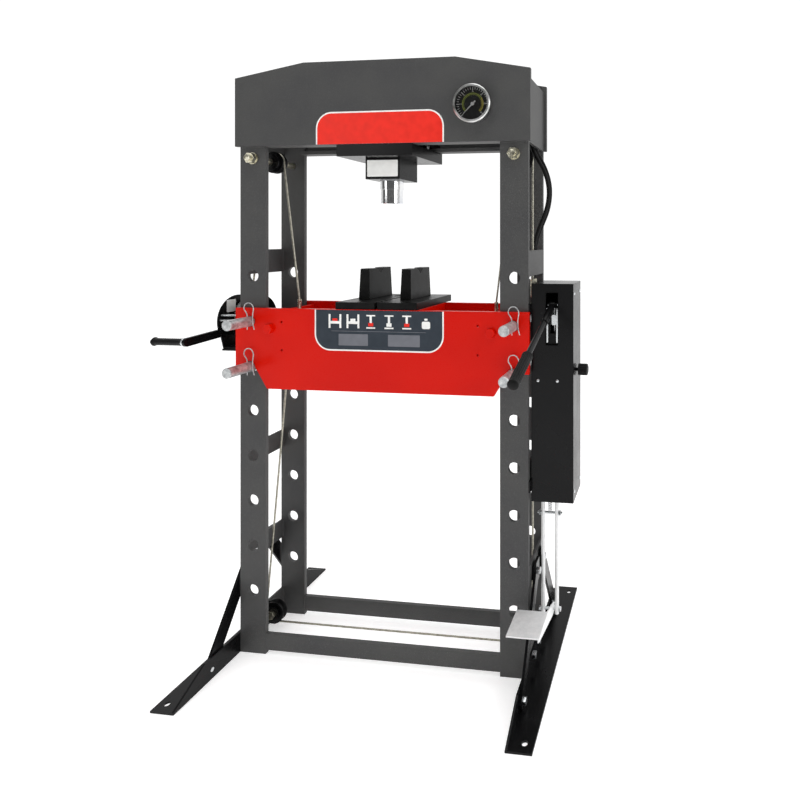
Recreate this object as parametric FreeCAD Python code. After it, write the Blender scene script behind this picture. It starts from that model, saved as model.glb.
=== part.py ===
import FreeCAD, Part
import math
import os

# Workshop hydraulic press, all sizes in millimetres.
# X runs across the press, Y from the front (-) to the rear (+), Z is up from the floor.
# The origin is the centre of the four floor anchor holes, on the floor.

# ---- frame ----------------------------------------------------------------
POST_SPACING = 836.0        # between the post centre lines, across the press
FRAME_DEPTH = 190.0         # over the front and rear posts
POST_WIDTH = 86.0
POST_THICK = 12.0
POST_BELOW_TOP = 59.0
HOLE_PITCH = 140.0          # bed height steps
HOLE_COUNT = 8
FIRST_HOLE_Z = 195.0
HOLE_R = 18.0
BRACE_THICK = 7.0
BRACE_SPANS = ((1178.0, 1255.0), (573.0, 632.0), (263.0, 323.0), (8.0, 88.0))
RAIL_HEIGHT = 50.0
RAIL_Z = 13.0

# ---- crown ----------------------------------------------------------------
PRESS_HEIGHT = 1829.0
CROWN_OVER_POST = 9.0       # past the posts' outer edges, at each end
CROWN_THICK = 12.0
CROWN_HEIGHT = 253.0
CROWN_DROP = 41.0           # from the flat top down to the end corners
CROWN_FLAT_HALF = 242.0
SPREADER_R = 20.0
SPREADER_X = 215.0
SPREADER_DROP = 45.0
LEDGE_WIDTH = 30.0

# ---- feet and struts ------------------------------------------------------
FOOT_LENGTH = 646.0
FOOT_WIDTH = 71.0
FOOT_HEIGHT = 62.0
FOOT_THICK = 6.0
FOOT_TAPER = 100.0
ANCHOR_R = 8.0
ANCHOR_INSET = 26.0         # from the foot's end, and from its outer edge
STRUT_WIDTH = 38.0
STRUT_THICK = 8.0
STRUT_FOOT = (-198.0, 26.0)     # lower bolt, Y and Z
STRUT_HEAD = (-38.0, 286.0)     # upper bolt, Y and Z
STRUT_TAB = 64.0                # height of the upright end of a strut
FOOT_BOLT_Y = (-59.0, 0.0, 59.0)
FOOT_BOLT_Z = 46.0
BOLT_R = 6.0                    # M12
BOLT_FLATS = 19.0
BOLT_HEAD = 8.0

# ---- wire ropes and pulleys -----------------------------------------------
ROPE_R = 3.0
ROPE_GAP = 0.3
PULLEY_R = 35.0
GROOVE_R = 28.0             # to the bottom of the groove
PULLEY_WIDTH = 20.0
TOP_AXLE_DROP = 36.0        # below the crown's bottom edge
TOP_AXLE_R = 10.0           # M20
TOP_AXLE_PROUD = 25.0
TOP_NUT_FLATS = 30.0
TOP_NUT_HEIGHT = 14.0
WASHER_THICK = 4.0
LOW_AXLE_Z = 65.0
LOW_AXLE_R = 8.0            # M16
RUNNING_FIT = 0.05
COLLAR_R = 28.0             # on the top axle, each side of a pulley
COLLAR_THICK = 12.0
CHEEK_THICK = 4.0
CHEEK_GAP = 2.0             # between a pulley and its cheek

# ---- bed ------------------------------------------------------------------
BED_OVER_POST = 5.0         # past the posts' outer edges, at each end
BED_THICK = 12.0
BED_GAP = 1.0               # between a bed plate and the post it slides on
BED_HEIGHT = 248.0
BED_STEP = 5                # hole that holds the lower pins, counted from the lowest
BED_BELOW_SEAT = 67.0       # from the pin seats down to the bed's bottom edge
BED_CORNER_CUT = 106.0      # how far the bottom edge stops short of each end
BED_HOLE_R = 17.0
BED_END_GAP = 23.0          # from a post's inner edge to the bed's end plate
BED_RIB_X = 118.0
BED_RIB_THICK = 12.0
TIE_BELOW_TOP = 62.0
TIE_R = 9.0
STUD_R = 6.0                # rope studs: two on the bed's top, one under its left end
STUD_NUT = 19.0
SHELF_THICK = 8.0
STUD_REACH = 46.0           # from a stud's shelf to the rope
SPARE_HOLE_R = 4.0
SPARE_HOLE_INSET = 40.0     # from the bed's end plate towards its middle
SPARE_HOLE_DZ = (20.0, -66.0)       # above and below the tie bolts

# ---- bed pins and their clips ---------------------------------------------
PIN_R = 15.5
PIN_FRONT_REACH = 102.0     # past the front face of the post
PIN_REAR_REACH = 33.0       # past the rear face of the post
CLIP_WIRE_R = 1.5
CLIP_GAP = 10.0             # from the bed's front face to the clip's hole

# ---- tooling on the bed ---------------------------------------------------
ARBOR_LENGTH = 125.5
ARBOR_THICK = 22.0
ARBOR_X = -8.0
ARBOR_INSET = 4.0           # behind the bed's front face
ARBOR_OVERHANG = 42.0       # past the bed's rear face
ARBOR_GAP = 9.0
VBLOCK_BASE = (36.0, 142.0)
VBLOCK_TOP = (30.0, 132.0)
VBLOCK_HEIGHT = 97.0
VBLOCK_X = (-91.0, 47.0)
VBLOCK_Y = 43.0
GROOVE_HALF = 20.0          # of the V at a block's top
GROOVE_DEPTH = 16.0

# ---- cylinder -------------------------------------------------------------
CYL_X = -12.0
CARRIER_WIDTH = 241.0
CARRIER_HEIGHT = 36.0
CARRIER_WALL = 12.0
HEAD_SIZE = (112.0, 117.0, 65.0)
BARREL_R = 50.0
BORE_R = 40.0
BARREL_RISE = 162.0         # above the crown's bottom edge
BARREL_CAP = 14.0
PORT_REACH = 60.0           # from the cylinder's axis to the hose fitting's face
RAM_R = 36.0
NOSE_R = 34.0
NOSE_TOP_DROP = 29.0        # from the cylinder head's bottom face to the nose
NOSE_HEIGHT = 45.0
PISTON_HEIGHT = 28.0
RAM_STROKE = 150.0
CLAMP_THICK = 12.0

# ---- pressure gauge -------------------------------------------------------
GAUGE_FROM_END = 168.0      # from the crown's end to the gauge's centre
GAUGE_RISE = 107.0          # from the crown's bottom edge to the gauge's centre
GAUGE_R = 56.5
GAUGE_DEPTH = 30.0
GAUGE_WALL = 4.0

# ---- winch ----------------------------------------------------------------
CRANK_Y = -14.0
CRANK_Z = 990.0
GEAR_MODULE = 2.5
PINION_TEETH = 12
GEAR_TEETH = 38
CHEEK_R = 80.0
CHEEK_CENTRE = (0.0, 1025.0)
WINCH_BASE_Z = 937.0
WINCH_WALL = 4.0
WINCH_GAP = 13.0            # from the posts' outer edges to the inner cheek
WINCH_WIDTH = 82.0
DRUM_CORE_R = 16.0
DRUM_FLANGE_R = 42.0
DRUM_GAP = 9.0              # from the inner cheek's inner face to the drum
DRUM_LENGTH = 55.0
DRUM_FLANGE = 3.0
DRUM_BORE_R = 6.05
GEAR_FACE = 8.0
CRANK_GAP = 1.0             # from the outer cheek to the arm
CRANK_LENGTH = 168.0
CRANK_DROP = 9.0
CRANK_THICK = 8.0
CRANK_WIDTH = 26.0
CRANK_SHAFT_R = 8.0
GRIP_LENGTH = 105.0
GRIP_R = 13.0
GRIP_PIN_R = 5.0

# ---- pump cabinet ---------------------------------------------------------
CAB_GAP = 5.0               # from the posts' outer edges to the cabinet
CAB_WIDTH = 126.0
CAB_Y = (-81.0, 41.0)
CAB_Z = (515.0, 1158.0)
CAB_SHEET = 2.0
SLOT_HALF = 18.0
SLOT_Z = (978.0, 1131.0)
LEVER_INSET = 62.0          # from the cabinet's side to the lever
LEVER_Y = -66.0
LEVER_Z = 1094.0
LEVER_DROP_DEG = 17.4
LEVER_LENGTH = 428.0
LEVER_R = 8.0
LEVER_GRIP = 134.0
LEVER_GRIP_R = 13.0
LEVER_ARM = 30.0            # from the pivot back to the roller on the plunger
FORK_THICK = 14.0
PLUNGER_R = 9.0
ROLLER_R = 7.0
ROLLER_GAP = 1.2
PUMP_TOP = 1010.0
KNOB_R = 17.5
KNOB_Y = -20.0
KNOB_Z = 894.0
KNOB_LENGTH = 30.0
STEM_R = 5.0

# ---- pedal ----------------------------------------------------------------
ROD_INSETS = (25.0, 67.0)   # from the cabinet's side to the pedal's rods
ROD_Y = -35.0
ROD_R = 6.0
ROD_BOTTOM = 158.0
PEDAL_PIVOT_Z = 172.0
PEDAL_REACH = 60.0          # of the tread past the first rod, towards the post
PEDAL_WIDTH = 92.0
PEDAL_GAP = 17.0            # from the front post to the tread
PEDAL_DEPTH = 105.0
PEDAL_Z = 214.0
PEDAL_THICK = 4.0
PEDAL_ARM_HEIGHT = 30.0

# ---- hydraulic hoses ------------------------------------------------------
HOSE_R = 6.0
HOSE_START_Z = 1140.0
HOSE_INSET = 16.0           # from the posts' outer edges in to the hoses
HOSE_Y = (18.0, 33.0)

# ---- places that follow from the sizes above ------------------------------
POST_X = POST_SPACING / 2
POST_OUT = POST_X + POST_WIDTH / 2
POST_IN = POST_X - POST_WIDTH / 2
FACE_Y = FRAME_DEPTH / 2                    # outer face of a post
BACK_Y = FACE_Y - POST_THICK                # inner face of a post
CROWN_Y = FACE_Y + CROWN_THICK
CROWN_HALF = POST_OUT + CROWN_OVER_POST
CROWN_TOP = PRESS_HEIGHT
CROWN_CORNER = PRESS_HEIGHT - CROWN_DROP
CROWN_BOTTOM = PRESS_HEIGHT - CROWN_HEIGHT
POST_TOP = PRESS_HEIGHT - POST_BELOW_TOP
TOP_AXLE_Z = CROWN_BOTTOM - TOP_AXLE_DROP
GAUGE_X = CROWN_HALF - GAUGE_FROM_END
GAUGE_Z = CROWN_BOTTOM + GAUGE_RISE
BED_HALF = POST_OUT + BED_OVER_POST
BED_FOOT_HALF = BED_HALF - BED_CORNER_CUT
BED_END_X = POST_IN - BED_END_GAP
BED_IN_Y = FACE_Y + BED_GAP
BED_Y = BED_IN_Y + BED_THICK
HOLES_Z = [FIRST_HOLE_Z + HOLE_PITCH * step for step in range(HOLE_COUNT)]
SEAT_Z = HOLES_Z[BED_STEP]
UPPER_PIN_Z = HOLES_Z[BED_STEP + 1]
BED_BOTTOM = SEAT_Z - BED_BELOW_SEAT
BED_TOP = BED_BOTTOM + BED_HEIGHT
TIE_Z = BED_TOP - TIE_BELOW_TOP
PIN_FRONT = -FACE_Y - PIN_FRONT_REACH
PIN_REAR = FACE_Y + PIN_REAR_REACH
WINCH_INNER_X = POST_OUT + WINCH_GAP
WINCH_OUTER_X = WINCH_INNER_X + WINCH_WIDTH
DRUM_SPAN = (WINCH_INNER_X + DRUM_GAP, WINCH_INNER_X + DRUM_GAP + DRUM_LENGTH)
CRANK_X = -WINCH_OUTER_X - CRANK_GAP - CRANK_THICK
CAB_X = (POST_OUT + CAB_GAP, POST_OUT + CAB_GAP + CAB_WIDTH)
LEVER_X = CAB_X[0] + LEVER_INSET
SLOT_X = (LEVER_X - SLOT_HALF, LEVER_X + SLOT_HALF)
ROD_X = [CAB_X[0] + inset for inset in ROD_INSETS]
PEDAL_PLATE_X = (ROD_X[0] - PEDAL_REACH, ROD_X[0] - PEDAL_REACH + PEDAL_WIDTH)
HOSE_INNER_X = POST_OUT - HOSE_INSET
PEDAL_PLATE_Y = (-FACE_Y - PEDAL_GAP - PEDAL_DEPTH, -FACE_Y - PEDAL_GAP)
ARBOR_SIZE = (ARBOR_LENGTH, 2 * BED_Y - ARBOR_INSET + ARBOR_OVERHANG, ARBOR_THICK)
ARBOR_CENTRE = (ARBOR_X, (ARBOR_OVERHANG + ARBOR_INSET) / 2)
ROPE_WRAP_R = GROOVE_R + ROPE_GAP + ROPE_R  # rope's centre line round a pulley
COIL_R = DRUM_CORE_R + 2 * ROPE_R
GEAR_Y = COIL_R + ROPE_GAP + ROPE_R         # the rope leaves the drum at Y = 0
GEAR_REACH = GEAR_MODULE * (PINION_TEETH + GEAR_TEETH) / 2
GEAR_Z = CRANK_Z + math.sqrt(GEAR_REACH ** 2 - (GEAR_Y - CRANK_Y) ** 2)
DRUM_MID_X = -(DRUM_SPAN[0] + DRUM_SPAN[1]) / 2
TOP_SHELF_Z = BED_TOP - 30
LOW_SHELF_Z = SEAT_Z + 14
CARRIER_BOTTOM = CROWN_BOTTOM - CARRIER_HEIGHT
HEAD_BOTTOM = CARRIER_BOTTOM - HEAD_SIZE[2]
NOSE_TOP = HEAD_BOTTOM - NOSE_TOP_DROP
NOSE_BOTTOM = NOSE_TOP - NOSE_HEIGHT
BARREL_TOP = CROWN_BOTTOM + BARREL_RISE
CLIP_Y = -BED_Y - CLIP_GAP
ANCHOR_X = BED_END_X - BED_RIB_THICK / 2 - STUD_NUT / 2 - 4
LOW_ANCHOR_X = BED_END_X + BED_RIB_THICK / 2 + STUD_NUT / 2 + 6
X_AXIS = FreeCAD.Vector(1, 0, 0)
Y_AXIS = FreeCAD.Vector(0, 1, 0)
Z_AXIS = FreeCAD.Vector(0, 0, 1)


# ---- shape helpers --------------------------------------------------------
def vec(x, y, z):
    return FreeCAD.Vector(x, y, z)


def box(x, y, z):
    """Block between the two ends given along each axis."""
    low = vec(min(x), min(y), min(z))
    return Part.makeBox(abs(x[1] - x[0]), abs(y[1] - y[0]), abs(z[1] - z[0]), low)


def rod(start, axis, radius, length):
    return Part.makeCylinder(radius, length, vec(*start), axis)


def tube(start, axis, outer, inner, length):
    return rod(start, axis, outer, length).cut(rod(start, axis, inner, length))


def prism(outline, axis, start, thick):
    """Plate with a flat outline: (Y, Z) points along X, (X, Z) along Y or (X, Y) along Z."""
    place = {"X": lambda a, b: vec(start, a, b),
             "Y": lambda a, b: vec(a, start, b),
             "Z": lambda a, b: vec(a, b, start)}[axis]
    points = [place(*point) for point in outline]
    face = Part.Face(Part.makePolygon(points + points[:1]))
    direction = {"X": X_AXIS, "Y": Y_AXIS, "Z": Z_AXIS}[axis]
    return face.extrude(direction * thick)


def hexagon(start, axis, flats, height):
    """Bolt head or nut: a six-sided prism."""
    corner = flats / math.sqrt(3)
    points = [vec(corner * math.cos(math.radians(60 * k)), corner * math.sin(math.radians(60 * k)), 0)
              for k in range(7)]
    solid = Part.Face(Part.makePolygon(points)).extrude(Z_AXIS * height)
    solid.Placement = FreeCAD.Placement(vec(*start), FreeCAD.Rotation(Z_AXIS, axis))
    return solid


def slab(start, end, width, x, thick):
    """Flat bar with round ends in the YZ plane, between two (Y, Z) points."""
    run = vec(0, end[0] - start[0], end[1] - start[1])
    side = vec(0, -run.z, run.y)
    side.normalize()
    side = side * (width / 2)
    first = vec(x, *start)
    last = vec(x, *end)
    corners = [first + side, last + side, last - side, first - side]
    bar = Part.Face(Part.makePolygon(corners + corners[:1])).extrude(X_AXIS * thick)
    for centre in (first, last):
        bar = bar.fuse(Part.makeCylinder(width / 2, thick, centre, X_AXIS))
    return bar.removeSplitter()


def revolve(profile, start, axis):
    """Solid of revolution: (radius, distance along the axis) points."""
    points = [vec(radius, 0, along) for radius, along in profile]
    solid = Part.Face(Part.makePolygon(points + points[:1])).revolve(vec(0, 0, 0), Z_AXIS, 360)
    solid.Placement = FreeCAD.Placement(vec(*start), FreeCAD.Rotation(Z_AXIS, axis))
    return solid


def mirror_x(shape):
    return shape.mirror(vec(0, 0, 0), X_AXIS)


def mirror_y(shape):
    return shape.mirror(vec(0, 0, 0), Y_AXIS)


def both_sides(shape):
    return [shape, mirror_x(shape)]


def save(name, *shapes):
    solids = [solid for shape in shapes for solid in shape.Solids]
    piece = solids[0] if len(solids) == 1 else Part.makeCompound(solids)
    piece.exportStep("parts/%s.step" % name)


def sweep_wire(edges, start, direction, radius):
    """Round section swept along a smooth chain of straight runs and arcs."""
    path = Part.Wire(edges)
    ring = Part.Wire(Part.makeCircle(radius, start, direction))
    solid = path.makePipeShell([ring], True, False)
    return solid


def bent_tube(name, points, radius):
    """Tube along straight runs joined by tangent arcs as large as the runs allow."""
    points = [vec(*point) for point in points]
    edges = []
    radii = []
    cursor = points[0]
    for before, corner, after in zip(points, points[1:], points[2:]):
        inward = corner - before
        onward = after - corner
        turn = inward.getAngle(onward)
        setback = 0.45 * min(inward.Length, onward.Length)
        bend = setback / math.tan(turn / 2)
        radii.append(bend)
        first = corner - inward * (setback / inward.Length)
        last = corner + onward * (setback / onward.Length)
        to_centre = (last - corner) + (first - corner)
        to_centre.normalize()
        middle = corner + to_centre * (bend / math.cos(turn / 2) - bend)
        edges.append(Part.LineSegment(cursor, first).toShape())
        edges.append(Part.Arc(first, middle, last).toShape())
        cursor = last
    edges.append(Part.LineSegment(cursor, points[-1]).toShape())
    solid = sweep_wire(edges, points[0], points[1] - points[0], radius)
    report_tube(name, solid, edges, radius, radii)
    return solid


def report_tube(name, solid, edges, radius, radii):
    length = sum(edge.Length for edge in edges)
    ratio = solid.Volume / (math.pi * radius ** 2 * length)
    print("%s: length %.0f, volume ratio %.4f, radii %s"
          % (name, length, ratio, " ".join("%.0f" % bend for bend in radii)))


# ---- taut ropes round pulleys, in the plane Y = 0 -------------------------
def arrive(point, centre, radius, sense):
    """Angle at which a line from a point meets a circle, winding +1 or -1 round it."""
    toward = (centre[0] - point[0], centre[1] - point[1])
    distance = math.hypot(*toward)
    return math.atan2(toward[1], toward[0]) - sense * math.acos(-radius / distance)


def leave(point, centre, radius, sense):
    """Angle at which a line to a point leaves a circle, winding +1 or -1 round it."""
    toward = (point[0] - centre[0], point[1] - centre[1])
    distance = math.hypot(*toward)
    return math.atan2(toward[1], toward[0]) - sense * math.acos(radius / distance)


def on_circle(centre, radius, angle):
    return vec(centre[0] + radius * math.cos(angle), 0, centre[1] + radius * math.sin(angle))


def taut_rope(name, start, centres, end, sense):
    """Rope from one (X, Z) point round equal pulleys, all the same way, to another."""
    radius = ROPE_WRAP_R
    entries = [arrive(start, centres[0], radius, sense)]
    exits = []
    for here, there in zip(centres, centres[1:]):
        along = math.atan2(there[1] - here[1], there[0] - here[0])
        exits.append(along - sense * math.pi / 2)
        entries.append(along - sense * math.pi / 2)
    exits.append(leave(end, centres[-1], radius, sense))
    cursor = vec(start[0], 0, start[1])
    direction = None
    edges = []
    for centre, enter, depart in zip(centres, entries, exits):
        sweep = (depart - enter) % (2 * math.pi) if sense > 0 else -((enter - depart) % (2 * math.pi))
        first = on_circle(centre, radius, enter)
        last = on_circle(centre, radius, enter + sweep)
        middle = on_circle(centre, radius, enter + sweep / 2)
        direction = direction or first - cursor
        edges.append(Part.LineSegment(cursor, first).toShape())
        edges.append(Part.Arc(first, middle, last).toShape())
        cursor = last
    edges.append(Part.LineSegment(cursor, vec(end[0], 0, end[1])).toShape())
    solid = sweep_wire(edges, vec(start[0], 0, start[1]), direction, ROPE_R)
    report_tube(name, solid, edges, ROPE_R, [radius] * len(centres))
    return solid


# ---- frame ----------------------------------------------------------------
def post(side, y):
    bar = box((POST_X - POST_WIDTH / 2, POST_X + POST_WIDTH / 2), (y, y + POST_THICK), (0, POST_TOP))
    for z in HOLES_Z:
        bar = bar.cut(rod((POST_X, y - 1, z), Y_AXIS, HOLE_R, POST_THICK + 2))
    axle_hole_r = TOP_AXLE_R + 0.5
    bar = bar.cut(rod((POST_X, y - 1, TOP_AXLE_Z), Y_AXIS, axle_hole_r, POST_THICK + 2))
    return bar if side > 0 else mirror_x(bar)


def crown_plate(y, gauge_hole):
    outline = [(-CROWN_HALF, CROWN_BOTTOM), (CROWN_HALF, CROWN_BOTTOM), (CROWN_HALF, CROWN_CORNER),
               (CROWN_FLAT_HALF, CROWN_TOP), (-CROWN_FLAT_HALF, CROWN_TOP), (-CROWN_HALF, CROWN_CORNER)]
    plate = prism(outline, "Y", y, CROWN_THICK)
    if gauge_hole:
        plate = plate.cut(rod((GAUGE_X, y - 1, GAUGE_Z), Y_AXIS, STEM_R + 3, CROWN_THICK + 2))
    return plate


def brace_bolt_holes(bar):
    """Clear the bolts that hold the feet and the struts to the side bars."""
    for y in FOOT_BOLT_Y:
        bar = bar.cut(rod((POST_OUT - 20, y, FOOT_BOLT_Z), X_AXIS, BOLT_R, 60))
    for y in (STRUT_HEAD[0], -STRUT_HEAD[0]):
        bar = bar.cut(rod((POST_OUT - 20, y, STRUT_HEAD[1]), X_AXIS, BOLT_R, 60))
    return bar


def side_braces():
    span_x = (POST_OUT - BRACE_THICK, POST_OUT)
    return [brace_bolt_holes(box(span_x, (-BACK_Y, BACK_Y), span)) for span in BRACE_SPANS]


def base_rail(y):
    return box((-POST_IN, POST_IN), (y, y + POST_THICK), (RAIL_Z, RAIL_Z + RAIL_HEIGHT))


def build_frame():
    for name, side in (("left", -1), ("right", 1)):
        save("posts_" + name, post(side, -FACE_Y), post(side, BACK_Y))
    braces = [bar for brace in side_braces() for bar in both_sides(brace)]
    save("frame_crossbars", *braces, base_rail(-FACE_Y), base_rail(BACK_Y))


def build_crown():
    save("crown_front_plate", crown_plate(-CROWN_Y, True))
    save("crown_rear_plate", crown_plate(FACE_Y, False))
    end = box((POST_OUT - CROWN_THICK, POST_OUT), (-BACK_Y, BACK_Y), (CROWN_BOTTOM, POST_TOP))
    spreader_z = CROWN_TOP - SPREADER_DROP
    spreader = tube((SPREADER_X, -FACE_Y, spreader_z), Y_AXIS, SPREADER_R, SPREADER_R - 5, FRAME_DEPTH)
    ledge = box((-POST_IN, POST_IN), (-FACE_Y, -FACE_Y + LEDGE_WIDTH),
                (CROWN_BOTTOM, CROWN_BOTTOM + CROWN_THICK))
    save("crown_inner_plates", *both_sides(end), *both_sides(spreader), ledge, mirror_y(ledge))


# ---- feet and struts ------------------------------------------------------
def foot():
    half = FOOT_LENGTH / 2
    inner = POST_OUT
    outline = [(-half, 0), (half, 0), (half, FOOT_THICK), (half - FOOT_TAPER, FOOT_HEIGHT),
               (-half + FOOT_TAPER, FOOT_HEIGHT), (-half, FOOT_THICK)]
    angle = prism(outline, "X", inner, FOOT_THICK)
    angle = angle.fuse(box((inner, inner + FOOT_WIDTH), (-half, half), (0, FOOT_THICK)))
    angle = angle.removeSplitter()
    anchor_x = inner + FOOT_WIDTH - ANCHOR_INSET
    for y in (-half + ANCHOR_INSET, half - ANCHOR_INSET):
        angle = angle.cut(rod((anchor_x, y, -1), Z_AXIS, ANCHOR_R, FOOT_THICK + 2))
    for y in FOOT_BOLT_Y:
        angle = angle.cut(rod((inner - 1, y, FOOT_BOLT_Z), X_AXIS, BOLT_R, FOOT_THICK + 2))
    for y in (STRUT_FOOT[0], -STRUT_FOOT[0]):
        angle = angle.cut(rod((inner - 1, y, STRUT_FOOT[1]), X_AXIS, BOLT_R, FOOT_THICK + 2))
    return angle


def strut():
    """Front strut of the right side: sloping bar, upright end and the pad that spaces it out."""
    x = POST_OUT + FOOT_THICK
    bar = slab(STRUT_FOOT, STRUT_HEAD, STRUT_WIDTH, x, STRUT_THICK)
    floor_cut = box((x - 1, x + STRUT_THICK + 1), (-400, 400), (-50, FOOT_THICK + 0.5))
    bar = bar.cut(floor_cut)
    tab_y = (STRUT_HEAD[0] - STRUT_WIDTH / 2, STRUT_HEAD[0] + STRUT_WIDTH / 2)
    tab_z = (STRUT_HEAD[1] - STRUT_TAB / 2, STRUT_HEAD[1] + STRUT_TAB / 2)
    bar = bar.fuse(box((x, x + STRUT_THICK), tab_y, tab_z))
    bar = bar.fuse(box((POST_OUT, x), tab_y, (STRUT_HEAD[1] - 20, STRUT_HEAD[1] + 20)))
    bar = bar.removeSplitter()
    for y, z in (STRUT_FOOT, STRUT_HEAD):
        bar = bar.cut(rod((POST_OUT - 1, y, z), X_AXIS, BOLT_R, FOOT_THICK + STRUT_THICK + 2))
    return bar


def side_bolt(y, z, seat_x, end_x):
    """Bolt along X with its head outside, from the face it seats on to its end."""
    head = hexagon((seat_x, y, z), X_AXIS, BOLT_FLATS, BOLT_HEAD)
    return head.fuse(rod((end_x, y, z), X_AXIS, BOLT_R, seat_x - end_x + 1)).removeSplitter()


def build_feet():
    save("feet", *both_sides(foot()))
    save("struts", *both_sides(strut()), *both_sides(mirror_y(strut())))
    inner = POST_OUT - BRACE_THICK
    flange = POST_OUT + FOOT_THICK
    outer = flange + STRUT_THICK
    bolts = [side_bolt(y, FOOT_BOLT_Z, flange, inner) for y in FOOT_BOLT_Y]
    for sign in (1, -1):
        bolts.append(side_bolt(sign * STRUT_HEAD[0], STRUT_HEAD[1], outer, inner))
        bolts.append(side_bolt(sign * STRUT_FOOT[0], STRUT_FOOT[1], outer, POST_OUT))
    save("foot_bolts", *[piece for bolt in bolts for piece in both_sides(bolt)])


# ---- pulleys and ropes ----------------------------------------------------
def pulley(x, z, bore):
    """Grooved wheel with four lightening holes, its axis along Y."""
    half = PULLEY_WIDTH / 2
    groove_half = ROPE_R + ROPE_GAP
    profile = [(bore, -half), (PULLEY_R, -half), (PULLEY_R, -half + 2), (GROOVE_R, -groove_half),
               (GROOVE_R, groove_half), (PULLEY_R, half - 2), (PULLEY_R, half), (bore, half)]
    wheel = revolve(profile, (x, 0, z), Y_AXIS)
    hole_ring = TOP_AXLE_R + 12
    for k in range(4):
        angle = math.radians(45 + 90 * k)
        start = (x + hole_ring * math.cos(angle), -half - 1, z + hole_ring * math.sin(angle))
        wheel = wheel.cut(rod(start, Y_AXIS, 3.5, PULLEY_WIDTH + 2))
    return wheel


def top_axle(side):
    """Long bolt through the front and rear posts, with a washer and nut at each end."""
    x = side * POST_X
    reach = FACE_Y + TOP_AXLE_PROUD
    bolt = rod((x, -reach, TOP_AXLE_Z), Y_AXIS, TOP_AXLE_R, 2 * reach)
    for sign in (1, -1):
        axis = vec(0, sign, 0)
        bolt = bolt.fuse(rod((x, sign * FACE_Y, TOP_AXLE_Z), axis, TOP_NUT_FLATS / 2 + 3, WASHER_THICK))
        seat = sign * (FACE_Y + WASHER_THICK)
        bolt = bolt.fuse(hexagon((x, seat, TOP_AXLE_Z), axis, TOP_NUT_FLATS, TOP_NUT_HEIGHT))
    return bolt.removeSplitter()


def axle_spacers(side):
    x = side * POST_X
    gap = PULLEY_WIDTH / 2 + 0.3
    first = tube((x, gap, TOP_AXLE_Z), Y_AXIS, COLLAR_R, TOP_AXLE_R, COLLAR_THICK)
    return [first, mirror_y(first)]


def low_cheeks():
    """Two plates on the inside of the right base plate that carry the low pulley."""
    inner = PULLEY_WIDTH / 2 + CHEEK_GAP
    wall = POST_OUT - BRACE_THICK
    nose_r = 24.0
    span_z = (LOW_AXLE_Z - nose_r, min(LOW_AXLE_Z + nose_r, BRACE_SPANS[-1][1]))
    plate = box((POST_X, wall), (inner, inner + CHEEK_THICK), span_z)
    plate = plate.fuse(rod((POST_X, inner, LOW_AXLE_Z), Y_AXIS, nose_r, CHEEK_THICK))
    trim = box((POST_X - 60, wall), (inner - 1, inner + CHEEK_THICK + 1), (span_z[1], span_z[1] + 60))
    plate = plate.cut(trim).removeSplitter()
    plate = plate.cut(rod((POST_X, inner - 1, LOW_AXLE_Z), Y_AXIS, LOW_AXLE_R, CHEEK_THICK + 2))
    return [plate, mirror_y(plate)]


def low_axle():
    reach = PULLEY_WIDTH / 2 + CHEEK_GAP + CHEEK_THICK
    head = 9.0
    bolt = rod((POST_X, -reach, LOW_AXLE_Z), Y_AXIS, LOW_AXLE_R, 2 * reach)
    for sign in (1, -1):
        bolt = bolt.fuse(hexagon((POST_X, sign * reach, LOW_AXLE_Z), vec(0, sign, 0), 24, head))
    return bolt.removeSplitter()


def rope_studs():
    """Threaded rope ends: two on the bed's top and one under its left end."""
    tail = 22
    upper = rod((ANCHOR_X, 0, TOP_SHELF_Z - tail), Z_AXIS, STUD_R, tail + STUD_REACH)
    upper = upper.fuse(hexagon((ANCHOR_X, 0, TOP_SHELF_Z), -Z_AXIS, STUD_NUT, 12)).removeSplitter()
    seat = LOW_SHELF_Z + SHELF_THICK
    lower = rod((-LOW_ANCHOR_X, 0, seat + tail), -Z_AXIS, STUD_R, tail + STUD_REACH)
    lower = lower.fuse(hexagon((-LOW_ANCHOR_X, 0, seat), Z_AXIS, STUD_NUT, 12)).removeSplitter()
    return upper, mirror_x(upper), lower


def build_ropes():
    for name, side in (("left", -1), ("right", 1)):
        save("top_pulley_" + name, pulley(side * POST_X, TOP_AXLE_Z, TOP_AXLE_R + RUNNING_FIT))
        save("low_pulley_" + name, pulley(side * POST_X, LOW_AXLE_Z, LOW_AXLE_R + RUNNING_FIT))
    save("pulley_axle_bolts", top_axle(-1), top_axle(1), *both_sides(low_axle()))
    save("axle_spacers", *axle_spacers(-1), *axle_spacers(1))
    save("low_pulley_cheeks", *[piece for cheek in low_cheeks() for piece in both_sides(cheek)])
    save("rope_studs", *rope_studs())
    top_z = TOP_SHELF_Z + STUD_REACH
    low_z = LOW_SHELF_Z + SHELF_THICK - STUD_REACH
    hoist_start = (DRUM_MID_X, GEAR_Z)
    hoist = taut_rope("hoist_rope", hoist_start, [(-POST_X, TOP_AXLE_Z)], (-ANCHOR_X, top_z), -1)
    save("hoist_rope", hoist)
    centres = [(-POST_X, LOW_AXLE_Z), (POST_X, LOW_AXLE_Z), (POST_X, TOP_AXLE_Z)]
    level_start = (-LOW_ANCHOR_X, low_z)
    save("levelling_rope", taut_rope("levelling_rope", level_start, centres, (ANCHOR_X, top_z), 1))


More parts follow.
